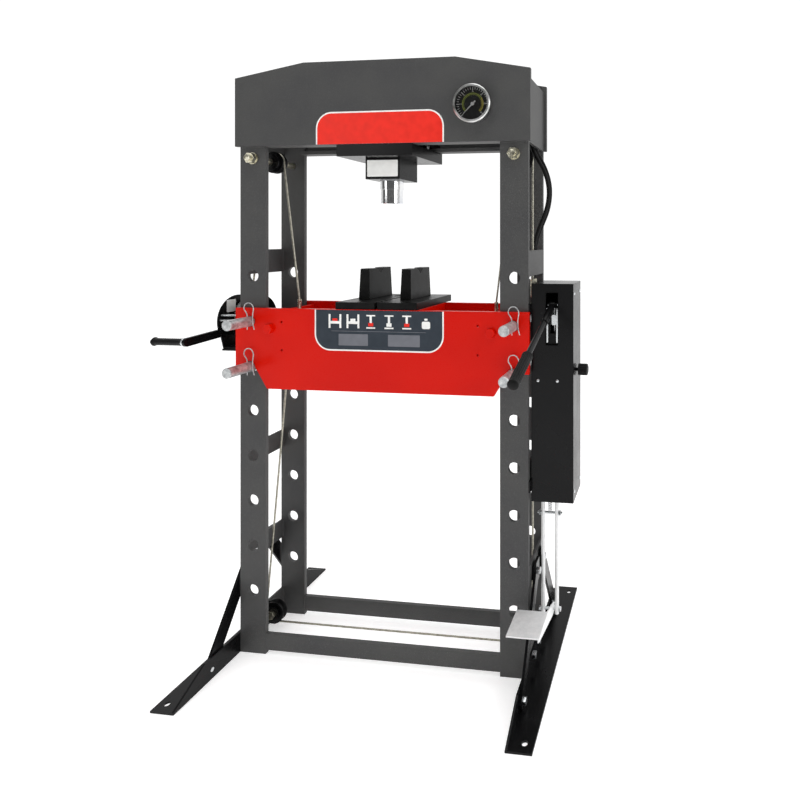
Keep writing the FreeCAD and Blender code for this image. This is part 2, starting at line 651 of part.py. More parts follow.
# ---- bed ------------------------------------------------------------------
def bed_plate(y):
    lug_in = POST_X - BED_HOLE_R
    half = [(BED_FOOT_HALF, BED_BOTTOM), (lug_in, SEAT_Z), (BED_HALF, SEAT_Z), (BED_HALF, BED_TOP)]
    outline = half + [(-x, z) for x, z in reversed(half)]
    plate = prism(outline, "Y", y, BED_THICK)
    for x in (-POST_X, POST_X):
        for z in (SEAT_Z, UPPER_PIN_Z):
            plate = plate.cut(rod((x, y - 1, z), Y_AXIS, BED_HOLE_R, BED_THICK + 2))
    for x in (-BED_END_X, BED_END_X):
        plate = plate.cut(rod((x, y - 1, TIE_Z), Y_AXIS, TIE_R, BED_THICK + 2))
    spare_x = BED_END_X - SPARE_HOLE_INSET
    for x in (-spare_x, spare_x):
        for rise in SPARE_HOLE_DZ:
            plate = plate.cut(rod((x, y - 1, TIE_Z + rise), Y_AXIS, SPARE_HOLE_R, BED_THICK + 2))
    return plate


def bed_end():
    """Cross plate between the bed's plates, with the shelf that holds the top rope stud."""
    half = BED_RIB_THICK / 2
    plate = box((BED_END_X - half, BED_END_X + half), (-BED_IN_Y, BED_IN_Y), (BED_BOTTOM + 30, BED_TOP - 12))
    plate = plate.cut(rod((BED_END_X, -BED_IN_Y - 1, TIE_Z), Y_AXIS, TIE_R + 1, 2 * BED_IN_Y + 2))
    return plate


def top_shelf():
    inner = BED_END_X - BED_RIB_THICK / 2
    shelf = box((inner - 50, inner), (-30, 30), (TOP_SHELF_Z, TOP_SHELF_Z + SHELF_THICK))
    return shelf.cut(rod((ANCHOR_X, 0, TOP_SHELF_Z - 1), Z_AXIS, STUD_R, SHELF_THICK + 2))


def low_shelf():
    outer = BED_END_X + BED_RIB_THICK / 2
    shelf = box((-outer - 34, -outer), (-30, 30), (LOW_SHELF_Z, LOW_SHELF_Z + SHELF_THICK))
    return shelf.cut(rod((-LOW_ANCHOR_X, 0, LOW_SHELF_Z - 1), Z_AXIS, STUD_R, SHELF_THICK + 2))


def build_bed():
    save("bed_front_plate", bed_plate(-BED_Y))
    save("bed_rear_plate", bed_plate(BED_IN_Y))
    rib_half = BED_RIB_THICK / 2
    rib = box((BED_RIB_X - rib_half, BED_RIB_X + rib_half), (-BED_IN_Y, BED_IN_Y), (BED_BOTTOM + 30, BED_TOP))
    save("bed_ribs", *both_sides(rib), *both_sides(bed_end()), *both_sides(top_shelf()), low_shelf())
    reach = BED_Y
    tie = rod((BED_END_X, -reach, TIE_Z), Y_AXIS, TIE_R, 2 * reach)
    for sign in (1, -1):
        tie = tie.fuse(hexagon((BED_END_X, sign * reach, TIE_Z), vec(0, sign, 0), 27, 11))
    save("bed_tie_bolts", *both_sides(tie.removeSplitter()))


def bed_pin(x, z):
    pin = rod((x, PIN_FRONT, z), Y_AXIS, PIN_R, PIN_REAR - PIN_FRONT)
    rims = [edge for edge in pin.Edges if edge.Length > 1.5 * PIN_R * math.pi and len(edge.Vertexes) == 1]
    pin = pin.makeChamfer(1.5, rims)
    return pin.cut(rod((x, CLIP_Y, z - PIN_R - 2), Z_AXIS, CLIP_WIRE_R + 0.2, 2 * PIN_R + 4))


def pin_clip(name, x, z):
    """Spring clip: one leg through the pin, a loop above it and one leg beside it."""
    beside = PIN_R + CLIP_WIRE_R + 0.5
    outline = [(0, -PIN_R - 9), (0, PIN_R + 9), (-13, PIN_R + 25), (-6, PIN_R + 42), (12, PIN_R + 43),
               (22, PIN_R + 27), (beside, PIN_R + 5), (beside + 0.8, -6), (beside + 6, -PIN_R - 8)]
    points = [(x + across, CLIP_Y, z + up) for across, up in outline]
    return bent_tube(name, points, CLIP_WIRE_R)


def build_pins():
    places = (("upper_left", -1, UPPER_PIN_Z), ("upper_right", 1, UPPER_PIN_Z),
              ("lower_left", -1, SEAT_Z), ("lower_right", 1, SEAT_Z))
    for name, side, z in places:
        clip = pin_clip("pin clip, " + name, side * POST_X, z)
        save("bed_pin_" + name, bed_pin(side * POST_X, z), clip)


# ---- tooling on the bed ---------------------------------------------------
def arbor_plate(side):
    """Thick plate with a U notch in its inner edge."""
    length, depth, height = ARBOR_SIZE
    inner = ARBOR_CENTRE[0] + side * ARBOR_GAP / 2
    y = (ARBOR_CENTRE[1] - depth / 2, ARBOR_CENTRE[1] + depth / 2)
    plate = box((inner, inner + side * length), y, (BED_TOP, BED_TOP + height))
    notch_r = 18.0
    notch_y = ARBOR_CENTRE[1] + depth / 4
    cut = rod((inner + side * 20, notch_y, BED_TOP - 1), Z_AXIS, notch_r, height + 2)
    cut = cut.fuse(box((inner - side, inner + side * 20), (notch_y - notch_r, notch_y + notch_r),
                       (BED_TOP - 1, BED_TOP + height + 1)))
    return plate.cut(cut)


def v_block(x):
    """Tapered plate stood on edge, with a V across its top for a shaft."""
    base_z = BED_TOP + ARBOR_SIZE[2]
    low = [vec(x + sx * VBLOCK_BASE[0] / 2, VBLOCK_Y + sy * VBLOCK_BASE[1] / 2, base_z)
           for sx, sy in ((-1, -1), (1, -1), (1, 1), (-1, 1))]
    high = [vec(x + sx * VBLOCK_TOP[0] / 2, VBLOCK_Y + sy * VBLOCK_TOP[1] / 2, base_z + VBLOCK_HEIGHT)
            for sx, sy in ((-1, -1), (1, -1), (1, 1), (-1, 1))]
    wires = [Part.makePolygon(ring + ring[:1]) for ring in (low, high)]
    block = Part.makeLoft(wires, True, True)
    top = base_z + VBLOCK_HEIGHT
    outline = [(VBLOCK_Y - GROOVE_HALF, top + 0.5), (VBLOCK_Y, top - GROOVE_DEPTH),
               (VBLOCK_Y + GROOVE_HALF, top + 0.5)]
    groove = prism(outline, "X", x - VBLOCK_BASE[0], 2 * VBLOCK_BASE[0])
    return block.cut(groove)


def build_tooling():
    save("arbor_plates", arbor_plate(-1), arbor_plate(1))
    save("v_blocks", *[v_block(x) for x in VBLOCK_X])


# ---- cylinder -------------------------------------------------------------
def carrier():
    """Open box under the crown with a thick floor that the cylinder hangs through."""
    x = (CYL_X - CARRIER_WIDTH / 2, CYL_X + CARRIER_WIDTH / 2)
    shell = box(x, (-CROWN_Y, CROWN_Y), (CARRIER_BOTTOM, CROWN_BOTTOM))
    inner = CARRIER_WALL
    hollow = box((x[0] + inner, x[1] - inner), (-CROWN_Y + inner, CROWN_Y - inner),
                 (CARRIER_BOTTOM + inner, CROWN_BOTTOM + 1))
    shell = shell.cut(hollow)
    return shell.cut(rod((CYL_X, 0, CARRIER_BOTTOM - 1), Z_AXIS, BARREL_R + 0.5, CARRIER_HEIGHT + 2))


def clamp_plate():
    z = CROWN_BOTTOM + CROWN_THICK
    half = CARRIER_WIDTH / 2
    plate = box((CYL_X - half, CYL_X + half), (-FACE_Y + 5, FACE_Y - 5), (z, z + CLAMP_THICK))
    plate = plate.cut(rod((CYL_X, 0, z - 1), Z_AXIS, BARREL_R, CLAMP_THICK + 2))
    for x, y in clamp_places():
        plate = plate.cut(rod((x, y, z - 1), Z_AXIS, LOW_AXLE_R, CLAMP_THICK + 2))
    return plate


def clamp_places():
    reach_x = CARRIER_WIDTH / 2 - 28
    reach_y = FACE_Y - LEDGE_WIDTH - 12
    return [(CYL_X + sx * reach_x, sy * reach_y) for sx in (-1, 1) for sy in (-1, 1)]


def clamp_bolt(x, y):
    seat = CARRIER_BOTTOM + CARRIER_WALL
    top = CROWN_BOTTOM + CROWN_THICK + CLAMP_THICK
    bolt = rod((x, y, seat), Z_AXIS, LOW_AXLE_R, top - seat)
    return bolt.fuse(hexagon((x, y, top), Z_AXIS, 24, 10)).removeSplitter()


def barrel():
    port_z = BARREL_TOP - 40
    body = tube((CYL_X, 0, CARRIER_BOTTOM), Z_AXIS, BARREL_R, BORE_R, BARREL_TOP - CARRIER_BOTTOM)
    body = body.fuse(rod((CYL_X, 0, BARREL_TOP), Z_AXIS, BARREL_R, BARREL_CAP))
    body = body.fuse(hexagon((CYL_X + BORE_R + 2, 0, port_z), X_AXIS, 22, PORT_REACH - BORE_R - 2))
    return body.removeSplitter().cut(rod((CYL_X, 0, port_z), X_AXIS, STEM_R - 2, PORT_REACH + 5))


def head_block():
    x = (CYL_X - HEAD_SIZE[0] / 2, CYL_X + HEAD_SIZE[0] / 2)
    block = box(x, (-HEAD_SIZE[1] / 2, HEAD_SIZE[1] / 2), (HEAD_BOTTOM, CARRIER_BOTTOM))
    return block.cut(rod((CYL_X, 0, HEAD_BOTTOM - 1), Z_AXIS, RAM_R + RUNNING_FIT, HEAD_SIZE[2] + 2))


def ram():
    piston_top = BARREL_TOP - 1
    piston_low = piston_top - PISTON_HEIGHT
    profile = [(0, NOSE_TOP), (RAM_R, NOSE_TOP), (RAM_R, piston_low), (BORE_R - RUNNING_FIT, piston_low),
               (BORE_R - RUNNING_FIT, piston_top), (0, piston_top)]
    return revolve(profile, (CYL_X, 0, 0), Z_AXIS)


def ram_nose():
    """Turned cap on the ram's end, with a shallow ring groove and a broken edge."""
    groove = NOSE_BOTTOM + 10
    profile = [(0, NOSE_BOTTOM), (NOSE_R - 1.5, NOSE_BOTTOM), (NOSE_R, NOSE_BOTTOM + 1.5), (NOSE_R, groove),
               (NOSE_R - 1, groove), (NOSE_R - 1, groove + 2.5), (NOSE_R, groove + 2.5), (NOSE_R, NOSE_TOP),
               (0, NOSE_TOP)]
    return revolve(profile, (CYL_X, 0, 0), Z_AXIS)


def build_cylinder():
    save("cylinder_carrier", carrier())
    save("carrier_clamp_plate", clamp_plate())
    save("carrier_bolts", *[clamp_bolt(x, y) for x, y in clamp_places()])
    save("cylinder_barrel", barrel())
    save("cylinder_head", head_block())
    save("ram", ram())
    save("ram_nose", ram_nose())


# ---- pressure gauge -------------------------------------------------------
def build_gauge():
    """Round gauge on the crown's front: case with its stem, dial, needle and glass."""
    back = -CROWN_Y
    inward = -Y_AXIS
    depth = GAUGE_DEPTH
    bowl = GAUGE_R - GAUGE_WALL
    lip = bowl - 4
    profile = [(0, 0), (GAUGE_R - 6, 0), (GAUGE_R - 2, depth - 12), (GAUGE_R, depth - 10),
               (GAUGE_R, depth - 3), (GAUGE_R - 3, depth), (lip, depth), (lip, depth - 2),
               (bowl, depth - 4), (bowl, 4), (0, 4)]
    case = revolve(profile, (GAUGE_X, back, GAUGE_Z), inward)
    case = case.fuse(rod((GAUGE_X, back - 1, GAUGE_Z), Y_AXIS, STEM_R + 2, CROWN_THICK + 10))
    case = case.fuse(hexagon((GAUGE_X, -FACE_Y, GAUGE_Z), Y_AXIS, 22, 14)).removeSplitter()
    save("gauge_case", case)
    dial_back = back - 12
    dial = tube((GAUGE_X, dial_back, GAUGE_Z), inward, bowl, 1.05, 2)
    dial = dial.fuse(tube((GAUGE_X, dial_back + 6, GAUGE_Z), inward, 6, 1.05, 6)).removeSplitter()
    save("gauge_dial", dial)
    glass_back = back - depth + 4 + 2.5
    save("gauge_glass", rod((GAUGE_X, glass_back, GAUGE_Z), inward, bowl - 0.1, 2.4))
    save("gauge_needle", needle(dial_back))


def needle(dial_back):
    """Pointer at the start of its scale, low on the left, on an arbor through the dial."""
    angle = math.radians(225)
    along = vec(math.cos(angle), 0, math.sin(angle))
    side = vec(-along.z, 0, along.x)
    front = dial_back - 4
    base = vec(GAUGE_X, front, GAUGE_Z)
    tip = GAUGE_R - 17
    corners = [base - along * 12 + side * 2.2, base + along * tip + side * 0.5,
               base + along * tip - side * 0.5, base - along * 12 - side * 2.2]
    blade = Part.Face(Part.makePolygon(corners + corners[:1])).extrude(-Y_AXIS * 1.0)
    blade = blade.fuse(rod((GAUGE_X, front + 0.5, GAUGE_Z), -Y_AXIS, 5, 2.5))
    return blade.fuse(rod((GAUGE_X, front + 9, GAUGE_Z), -Y_AXIS, 1, 9)).removeSplitter()


# ---- winch ----------------------------------------------------------------
def involute_gear(teeth, x, y, z, face, turn, backlash):
    """Spur gear along X: each flank is an involute, thinned by the backlash."""
    pitch_r = GEAR_MODULE * teeth / 2
    base_r = pitch_r * math.cos(math.radians(20))
    tip_r = pitch_r + 0.85 * GEAR_MODULE
    root_r = pitch_r - 1.2 * GEAR_MODULE
    tan20 = math.tan(math.radians(20))
    half = math.pi / (2 * teeth) - backlash / (2 * pitch_r) + tan20 - math.radians(20)
    start_r = max(base_r, root_r)
    outline = []
    for k in range(teeth):
        middle = 2 * math.pi * k / teeth + turn
        flank = []
        for step in range(5):
            radius = start_r + (tip_r - start_r) * step / 4
            unwrap = math.sqrt((radius / base_r) ** 2 - 1)
            flank.append((radius, half - (unwrap - math.atan(unwrap))))
        left = [(root_r, flank[0][1])] + flank
        for radius, off in left:
            outline.append((radius, middle - off))
        for radius, off in reversed(left):
            outline.append((radius, middle + off))
    points = [(y + radius * math.cos(a), z + radius * math.sin(a)) for radius, a in outline]
    return prism(points, "X", x, face)


def winch_frame():
    """Folded U: a base and two upright cheeks with round tops."""
    centre_y, centre_z = CHEEK_CENTRE
    shape = None
    for x in (-WINCH_OUTER_X, -WINCH_INNER_X - WINCH_WALL):
        cheek = rod((x, centre_y, centre_z), X_AXIS, CHEEK_R, WINCH_WALL)
        skirt = [(centre_y - CHEEK_R + 24, WINCH_BASE_Z), (centre_y + CHEEK_R - 24, WINCH_BASE_Z),
                 (centre_y + CHEEK_R - 6, centre_z - 20), (centre_y - CHEEK_R + 6, centre_z - 20)]
        cheek = cheek.fuse(prism(skirt, "X", x, WINCH_WALL))
        shape = cheek if shape is None else shape.fuse(cheek)
    base_y = (centre_y - CHEEK_R + 24, centre_y + CHEEK_R - 24)
    base = box((-WINCH_OUTER_X, -WINCH_INNER_X), base_y, (WINCH_BASE_Z, WINCH_BASE_Z + WINCH_WALL))
    shape = shape.fuse(base).removeSplitter()
    through = WINCH_OUTER_X - WINCH_INNER_X + 4
    shaft_hole_r = CRANK_SHAFT_R + RUNNING_FIT
    shape = shape.cut(rod((-WINCH_OUTER_X - 2, CRANK_Y, CRANK_Z), X_AXIS, shaft_hole_r, through))
    return shape.cut(rod((-WINCH_OUTER_X - 2, GEAR_Y, GEAR_Z), X_AXIS, DRUM_BORE_R - RUNNING_FIT, through))


def winch_bracket():
    """Shelf and back plate that hold the winch on the left posts."""
    reach = CHEEK_R - 20
    shelf = box((-WINCH_OUTER_X, -POST_OUT), (-reach, reach), (WINCH_BASE_Z - 6, WINCH_BASE_Z))
    back = box((-POST_OUT - 6, -POST_OUT), (-FACE_Y, FACE_Y), (WINCH_BASE_Z - 40, WINCH_BASE_Z + 60))
    return shelf.fuse(back).removeSplitter()


def winch_drum():
    """Drum with two flanges and the large gear fixed to its outer flange."""
    first, last = DRUM_SPAN
    profile = [(DRUM_BORE_R, first), (DRUM_FLANGE_R, first), (DRUM_FLANGE_R, first + DRUM_FLANGE),
               (DRUM_CORE_R, first + DRUM_FLANGE), (DRUM_CORE_R, last - DRUM_FLANGE),
               (DRUM_FLANGE_R, last - DRUM_FLANGE), (DRUM_FLANGE_R, last), (DRUM_BORE_R, last)]
    drum = revolve(profile, (0, GEAR_Y, GEAR_Z), -X_AXIS)
    gear = involute_gear(GEAR_TEETH, -last - GEAR_FACE, GEAR_Y, GEAR_Z, GEAR_FACE, gear_turn(), 0.5)
    gear = gear.cut(rod((-last - GEAR_FACE - 1, GEAR_Y, GEAR_Z), X_AXIS, DRUM_BORE_R, GEAR_FACE + 2))
    return drum.fuse(gear).removeSplitter()


def gear_turn():
    """Angle of the large gear's first tooth that puts a gap on the line to the pinion."""
    toward_pinion = math.atan2(CRANK_Z - GEAR_Z, CRANK_Y - GEAR_Y)
    return toward_pinion + math.pi / GEAR_TEETH


def pinion_turn():
    return math.atan2(GEAR_Z - CRANK_Z, GEAR_Y - CRANK_Y)


def drum_axle():
    start = -WINCH_OUTER_X - 3
    length = WINCH_OUTER_X - WINCH_INNER_X + 6
    axle = rod((start, GEAR_Y, GEAR_Z), X_AXIS, DRUM_BORE_R - RUNNING_FIT, length)
    return axle.fuse(hexagon((start, GEAR_Y, GEAR_Z), X_AXIS, 18, 3)).removeSplitter()


def crank_shaft():
    """Shaft through both cheeks with the pinion cut on it."""
    inner = -WINCH_INNER_X + 1
    shaft = rod((CRANK_X, CRANK_Y, CRANK_Z), X_AXIS, CRANK_SHAFT_R, inner - CRANK_X)
    gear_x = -DRUM_SPAN[1] - GEAR_FACE
    pinion = involute_gear(PINION_TEETH, gear_x, CRANK_Y, CRANK_Z, GEAR_FACE, pinion_turn(), 0.5)
    return shaft.fuse(pinion).removeSplitter()


def crank():
    """Flat arm welded to the shaft, with the grip's pin at its end."""
    x = CRANK_X
    end = (CRANK_Y - CRANK_LENGTH, CRANK_Z - CRANK_DROP)
    arm = slab((CRANK_Y, CRANK_Z), end, CRANK_WIDTH, x, CRANK_THICK)
    arm = arm.fuse(crank_shaft())
    pin_end = x - GRIP_LENGTH - 2
    arm = arm.fuse(rod((pin_end, *end), X_AXIS, GRIP_PIN_R, x - pin_end + 1))
    return arm.fuse(rod((pin_end - 3, *end), X_AXIS, GRIP_PIN_R + 3, 3)).removeSplitter()


def crank_grip():
    """Turned handle that spins on the crank's pin: a waist, a full middle and a round end."""
    end = (CRANK_Y - CRANK_LENGTH, CRANK_Z - CRANK_DROP)
    bore = GRIP_PIN_R + RUNNING_FIT
    root = 1 - CRANK_X
    profile = [(bore, 0), (GRIP_R - 3, 0), (GRIP_R - 2, 8), (GRIP_R, 34), (GRIP_R, GRIP_LENGTH - 12),
               (GRIP_R - 2, GRIP_LENGTH - 3), (GRIP_R - 4, GRIP_LENGTH), (bore, GRIP_LENGTH)]
    return revolve(profile, (-root, *end), -X_AXIS)


def build_winch():
    save("winch_frame", winch_frame())
    save("winch_drum", winch_drum())
    first, last = DRUM_SPAN
    coil_start = -last + DRUM_FLANGE
    coil_length = last - first - 2 * DRUM_FLANGE
    save("rope_coil", tube((coil_start, GEAR_Y, GEAR_Z), X_AXIS, COIL_R, DRUM_CORE_R, coil_length))
    save("crank", crank())
    save("crank_grip", crank_grip())


# ---- pump cabinet ---------------------------------------------------------
def cabinet_shell():
    """Folded sheet box, open at the back, with the lever's slot in its front."""
    inner_x = (CAB_X[0] + CAB_SHEET, CAB_X[1] - CAB_SHEET)
    inner_y = (CAB_Y[0] + CAB_SHEET, CAB_Y[1] + 1)
    inner_z = (CAB_Z[0] + CAB_SHEET, CAB_Z[1] - CAB_SHEET)
    shell = box(CAB_X, CAB_Y, CAB_Z).cut(box(inner_x, inner_y, inner_z))
    shell = shell.cut(box(SLOT_X, (CAB_Y[0] - 1, CAB_Y[0] + CAB_SHEET + 1), SLOT_Z))
    shell = shell.cut(rod((CAB_X[1] - 5, KNOB_Y, KNOB_Z), X_AXIS, STEM_R + 1, 10))
    for y in HOSE_Y:
        shell = shell.cut(rod((CAB_X[0] - 1, y, HOSE_START_Z - 30), X_AXIS, HOSE_R + 1, CAB_SHEET + 2))
    return shell


def cabinet_brackets():
    spans = ((CAB_Z[1] - 92, CAB_Z[1] - 58), (CAB_Z[0] + 30, CAB_Z[0] + 64))
    return [box((POST_OUT, CAB_X[0]), (-FACE_Y, FACE_Y), span) for span in spans]


def pump_block():
    """Cast body with the plunger's bore, standing on the oil tank."""
    body = box((LEVER_X - 32, LEVER_X + 32), (LEVER_Y - 8, CAB_Y[1] - 12), (KNOB_Z - 40, PUMP_TOP))
    plunger_y = LEVER_Y + LEVER_ARM
    bore = rod((LEVER_X, plunger_y, PUMP_TOP - 60), Z_AXIS, PLUNGER_R + RUNNING_FIT, 61)
    body = body.cut(bore)
    for ear in lever_bearing():
        body = body.fuse(ear)
    return body.removeSplitter().cut(rod((LEVER_X + 5, KNOB_Y, KNOB_Z), X_AXIS, STEM_R + RUNNING_FIT, 40))


def lever_bearing():
    """Two ears on the pump's top that carry the lever's pivot pin."""
    ears = []
    ear_gap = FORK_THICK / 2 + 0.5
    for x in (LEVER_X - ear_gap - 6, LEVER_X + ear_gap):
        ear = box((x, x + 6), (LEVER_Y - 7, LEVER_Y + 7), (PUMP_TOP, LEVER_Z))
        ear = ear.fuse(rod((x, LEVER_Y, LEVER_Z), X_AXIS, 7, 6)).removeSplitter()
        ears.append(ear.cut(rod((x - 1, LEVER_Y, LEVER_Z), X_AXIS, 4, 8)))
    return ears


def lever_pin():
    half = FORK_THICK / 2 + 8
    return rod((LEVER_X - half, LEVER_Y, LEVER_Z), X_AXIS, 4, 2 * half)


def oil_tank():
    return box((CAB_X[0] + 10, CAB_X[1] - 10), (CAB_Y[0] + 8, CAB_Y[1] - 4), (CAB_Z[0] + 160, KNOB_Z - 40))


def lever():
    """Socket on the pivot with a short rear arm for the roller, and the bar that slopes down."""
    slope = math.radians(LEVER_DROP_DEG)
    forward = vec(0, -math.cos(slope), -math.sin(slope))
    pivot = vec(LEVER_X, LEVER_Y, LEVER_Z)
    half = FORK_THICK / 2
    boss = rod((LEVER_X - half, LEVER_Y, LEVER_Z), X_AXIS, 10, FORK_THICK)
    arm = slab((LEVER_Y, LEVER_Z), (LEVER_Y + LEVER_ARM, LEVER_Z), 2 * ROLLER_R, LEVER_X - half, FORK_THICK)
    clear = 11
    bar = Part.makeCylinder(LEVER_R, LEVER_LENGTH - clear, pivot + forward * clear, forward)
    socket = Part.makeCylinder(LEVER_R + 3, 90, pivot + forward * 30, forward)
    shape = boss.fuse(arm).fuse(bar).fuse(socket).removeSplitter()
    return shape.cut(rod((LEVER_X - half - 5, LEVER_Y, LEVER_Z), X_AXIS, 4 + RUNNING_FIT, FORK_THICK + 10))


def lever_grip():
    slope = math.radians(LEVER_DROP_DEG)
    forward = vec(0, -math.cos(slope), -math.sin(slope))
    pivot = vec(LEVER_X, LEVER_Y, LEVER_Z)
    start = pivot + forward * (LEVER_LENGTH + 5 - LEVER_GRIP)
    hollow = LEVER_GRIP - 5
    profile = [(LEVER_R, 0), (LEVER_GRIP_R + 1, 0), (LEVER_GRIP_R + 1, 5), (LEVER_GRIP_R, 8),
               (LEVER_GRIP_R, LEVER_GRIP - 4), (LEVER_GRIP_R - 4, LEVER_GRIP), (0, LEVER_GRIP), (0, hollow),
               (LEVER_R, hollow)]
    return revolve(profile, (start.x, start.y, start.z), forward)


def plunger():
    top = LEVER_Z - ROLLER_R - ROLLER_GAP
    y = LEVER_Y + LEVER_ARM
    low = PUMP_TOP - 30
    shape = rod((LEVER_X, y, low), Z_AXIS, PLUNGER_R, top - low - 6)
    return shape.fuse(rod((LEVER_X, y, top - 6), Z_AXIS, PLUNGER_R + 3, 6)).removeSplitter()


def release_knob():
    """Ribbed knob on the cabinet's side, with the valve stem behind it."""
    knob_x = CAB_X[1] + 5
    knob = rod((knob_x, KNOB_Y, KNOB_Z), X_AXIS, KNOB_R, KNOB_LENGTH)
    for k in range(12):
        angle = math.radians(30 * k)
        reach = KNOB_R + 0.8
        start = (knob_x - 1, KNOB_Y + reach * math.cos(angle), KNOB_Z + reach * math.sin(angle))
        knob = knob.cut(rod(start, X_AXIS, 2.2, KNOB_LENGTH - 4))
    stem_x = LEVER_X + 10
    return knob.fuse(rod((stem_x, KNOB_Y, KNOB_Z), X_AXIS, STEM_R, knob_x - stem_x + 1)).removeSplitter()


def hose_elbow(y):
    """Fitting through the cabinet's wall that turns up to the hose."""
    z = HOSE_START_Z - 30
    across = rod((HOSE_INNER_X, y, z), X_AXIS, HOSE_R + 1, CAB_X[0] + 14 - HOSE_INNER_X)
    upward = rod((HOSE_INNER_X, y, z), Z_AXIS, HOSE_R + 1, HOSE_START_Z - z)
    ball = Part.makeSphere(HOSE_R + 1, vec(HOSE_INNER_X, y, z))
    return across.fuse(upward).fuse(ball).removeSplitter()


def build_cabinet():
    save("cabinet_shell", cabinet_shell())
    back_y = (CAB_Y[1], CAB_Y[1] + CAB_SHEET)
    save("cabinet_back", box(CAB_X, back_y, CAB_Z))
    save("side_brackets", winch_bracket(), *cabinet_brackets())
    save("pump_block", pump_block())
    save("pivot_pins", drum_axle(), lever_pin(), pedal_pivot())
    save("oil_tank", oil_tank())
    save("pump_plunger", plunger())
    save("pump_lever", lever())
    save("lever_grip", lever_grip())
    save("release_knob", release_knob())


# ---- pedal ----------------------------------------------------------------
def pedal_rods():
    pieces = []
    for x in ROD_X:
        upright = rod((x, ROD_Y, ROD_BOTTOM), Z_AXIS, ROD_R, CAB_Z[0] - ROD_BOTTOM)
        pieces.append(upright.cut(rod((x - 10, ROD_Y, PEDAL_PIVOT_Z), X_AXIS, 4, 20)))
    return pieces


def pedal_pivot():
    ends = (ROD_X[0] - ROD_R - 3, ROD_X[1] + ROD_R + 3)
    pin = rod((ends[0], ROD_Y, PEDAL_PIVOT_Z), X_AXIS, 4, ends[1] - ends[0])
    for x, axis in ((ROD_X[0] - ROD_R, -X_AXIS), (ROD_X[1] + ROD_R, X_AXIS)):
        pin = pin.fuse(hexagon((x, ROD_Y, PEDAL_PIVOT_Z), axis, 13, 6))
    return pin.removeSplitter()


def pedal():
    """Bent plate: a flat tread and an upright arm back to the pivot."""
    tread = box(PEDAL_PLATE_X, PEDAL_PLATE_Y, (PEDAL_Z - PEDAL_THICK, PEDAL_Z))
    arm_x = PEDAL_PLATE_X[1] - PEDAL_THICK
    outline = [(PEDAL_PLATE_Y[0], PEDAL_Z), (PEDAL_PLATE_Y[0], PEDAL_Z - 12),
               (ROD_Y - 12, PEDAL_PIVOT_Z - 12), (ROD_Y + 12, PEDAL_PIVOT_Z - 12),
               (ROD_Y + 12, PEDAL_PIVOT_Z + 12), (PEDAL_PLATE_Y[1], PEDAL_Z)]
    arm = prism(outline, "X", arm_x, PEDAL_THICK)
    boss = rod((arm_x - 6, ROD_Y, PEDAL_PIVOT_Z), X_AXIS, 9, PEDAL_THICK + 6)
    shape = tread.fuse(arm).fuse(boss).removeSplitter()
    return shape.cut(rod((arm_x - 10, ROD_Y, PEDAL_PIVOT_Z), X_AXIS, 4 + RUNNING_FIT, 30))


def build_pedal():
    save("pedal_rods", *pedal_rods())
    save("pedal", pedal())


# ---- hydraulic hoses ------------------------------------------------------
def build_hoses():
    save("hose_elbows", *[hose_elbow(y) for y in HOSE_Y])
    gauge_y = HOSE_Y[0]
    gauge_end = (GAUGE_X, -FACE_Y + 14, GAUGE_Z)
    post = HOSE_INNER_X
    crown = CROWN_BOTTOM
    gauge_hose = [(post, gauge_y, HOSE_START_Z), (post, gauge_y, 1268), (post + 21, gauge_y, 1328),
                  (post + 44, 19, 1382), (post + 52, 20, crown - 136), (post + 39, 19, crown - 76),
                  (post + 7, gauge_y, crown - 24), (post - 15, gauge_y, crown + 38),
                  (post - 35, 16, crown + 93), (post - 78, 10, crown + 124), (GAUGE_X + 20, -8, GAUGE_Z + 12),
                  (GAUGE_X, -44, GAUGE_Z), gauge_end]
    save("gauge_hose", bent_tube("gauge_hose", gauge_hose, HOSE_R))
    port = (CYL_X + PORT_REACH, 0, BARREL_TOP - 40)
    cylinder_y = HOSE_Y[1]
    side_run = (post + CYL_X + PORT_REACH) / 2
    cylinder_hose = [(post, cylinder_y, HOSE_START_Z), (post, cylinder_y, 1262), (post + 23, 34, 1326),
                     (post + 48, 35, 1386), (post + 54, 35, crown - 124), (post + 37, 35, crown - 62),
                     (post + 5, 34, crown - 8), (post - 17, 33, crown + 54), (post - 49, 32, crown + 112),
                     (side_run + 76, 30, crown + 146), (side_run - 6, 22, crown + 152),
                     (CYL_X + PORT_REACH + 112, 10, crown + 136),
                     (CYL_X + PORT_REACH + 46, 0, crown + 122), port]
    save("cylinder_hose", bent_tube("cylinder_hose", cylinder_hose, HOSE_R))


def main():
    os.makedirs("parts", exist_ok=True)
    build_frame()
    build_crown()
    build_feet()
    build_ropes()
    build_bed()
    build_pins()
    build_tooling()
    build_cylinder()
    build_gauge()
    build_winch()
    build_cabinet()
    build_pedal()
    build_hoses()


main()
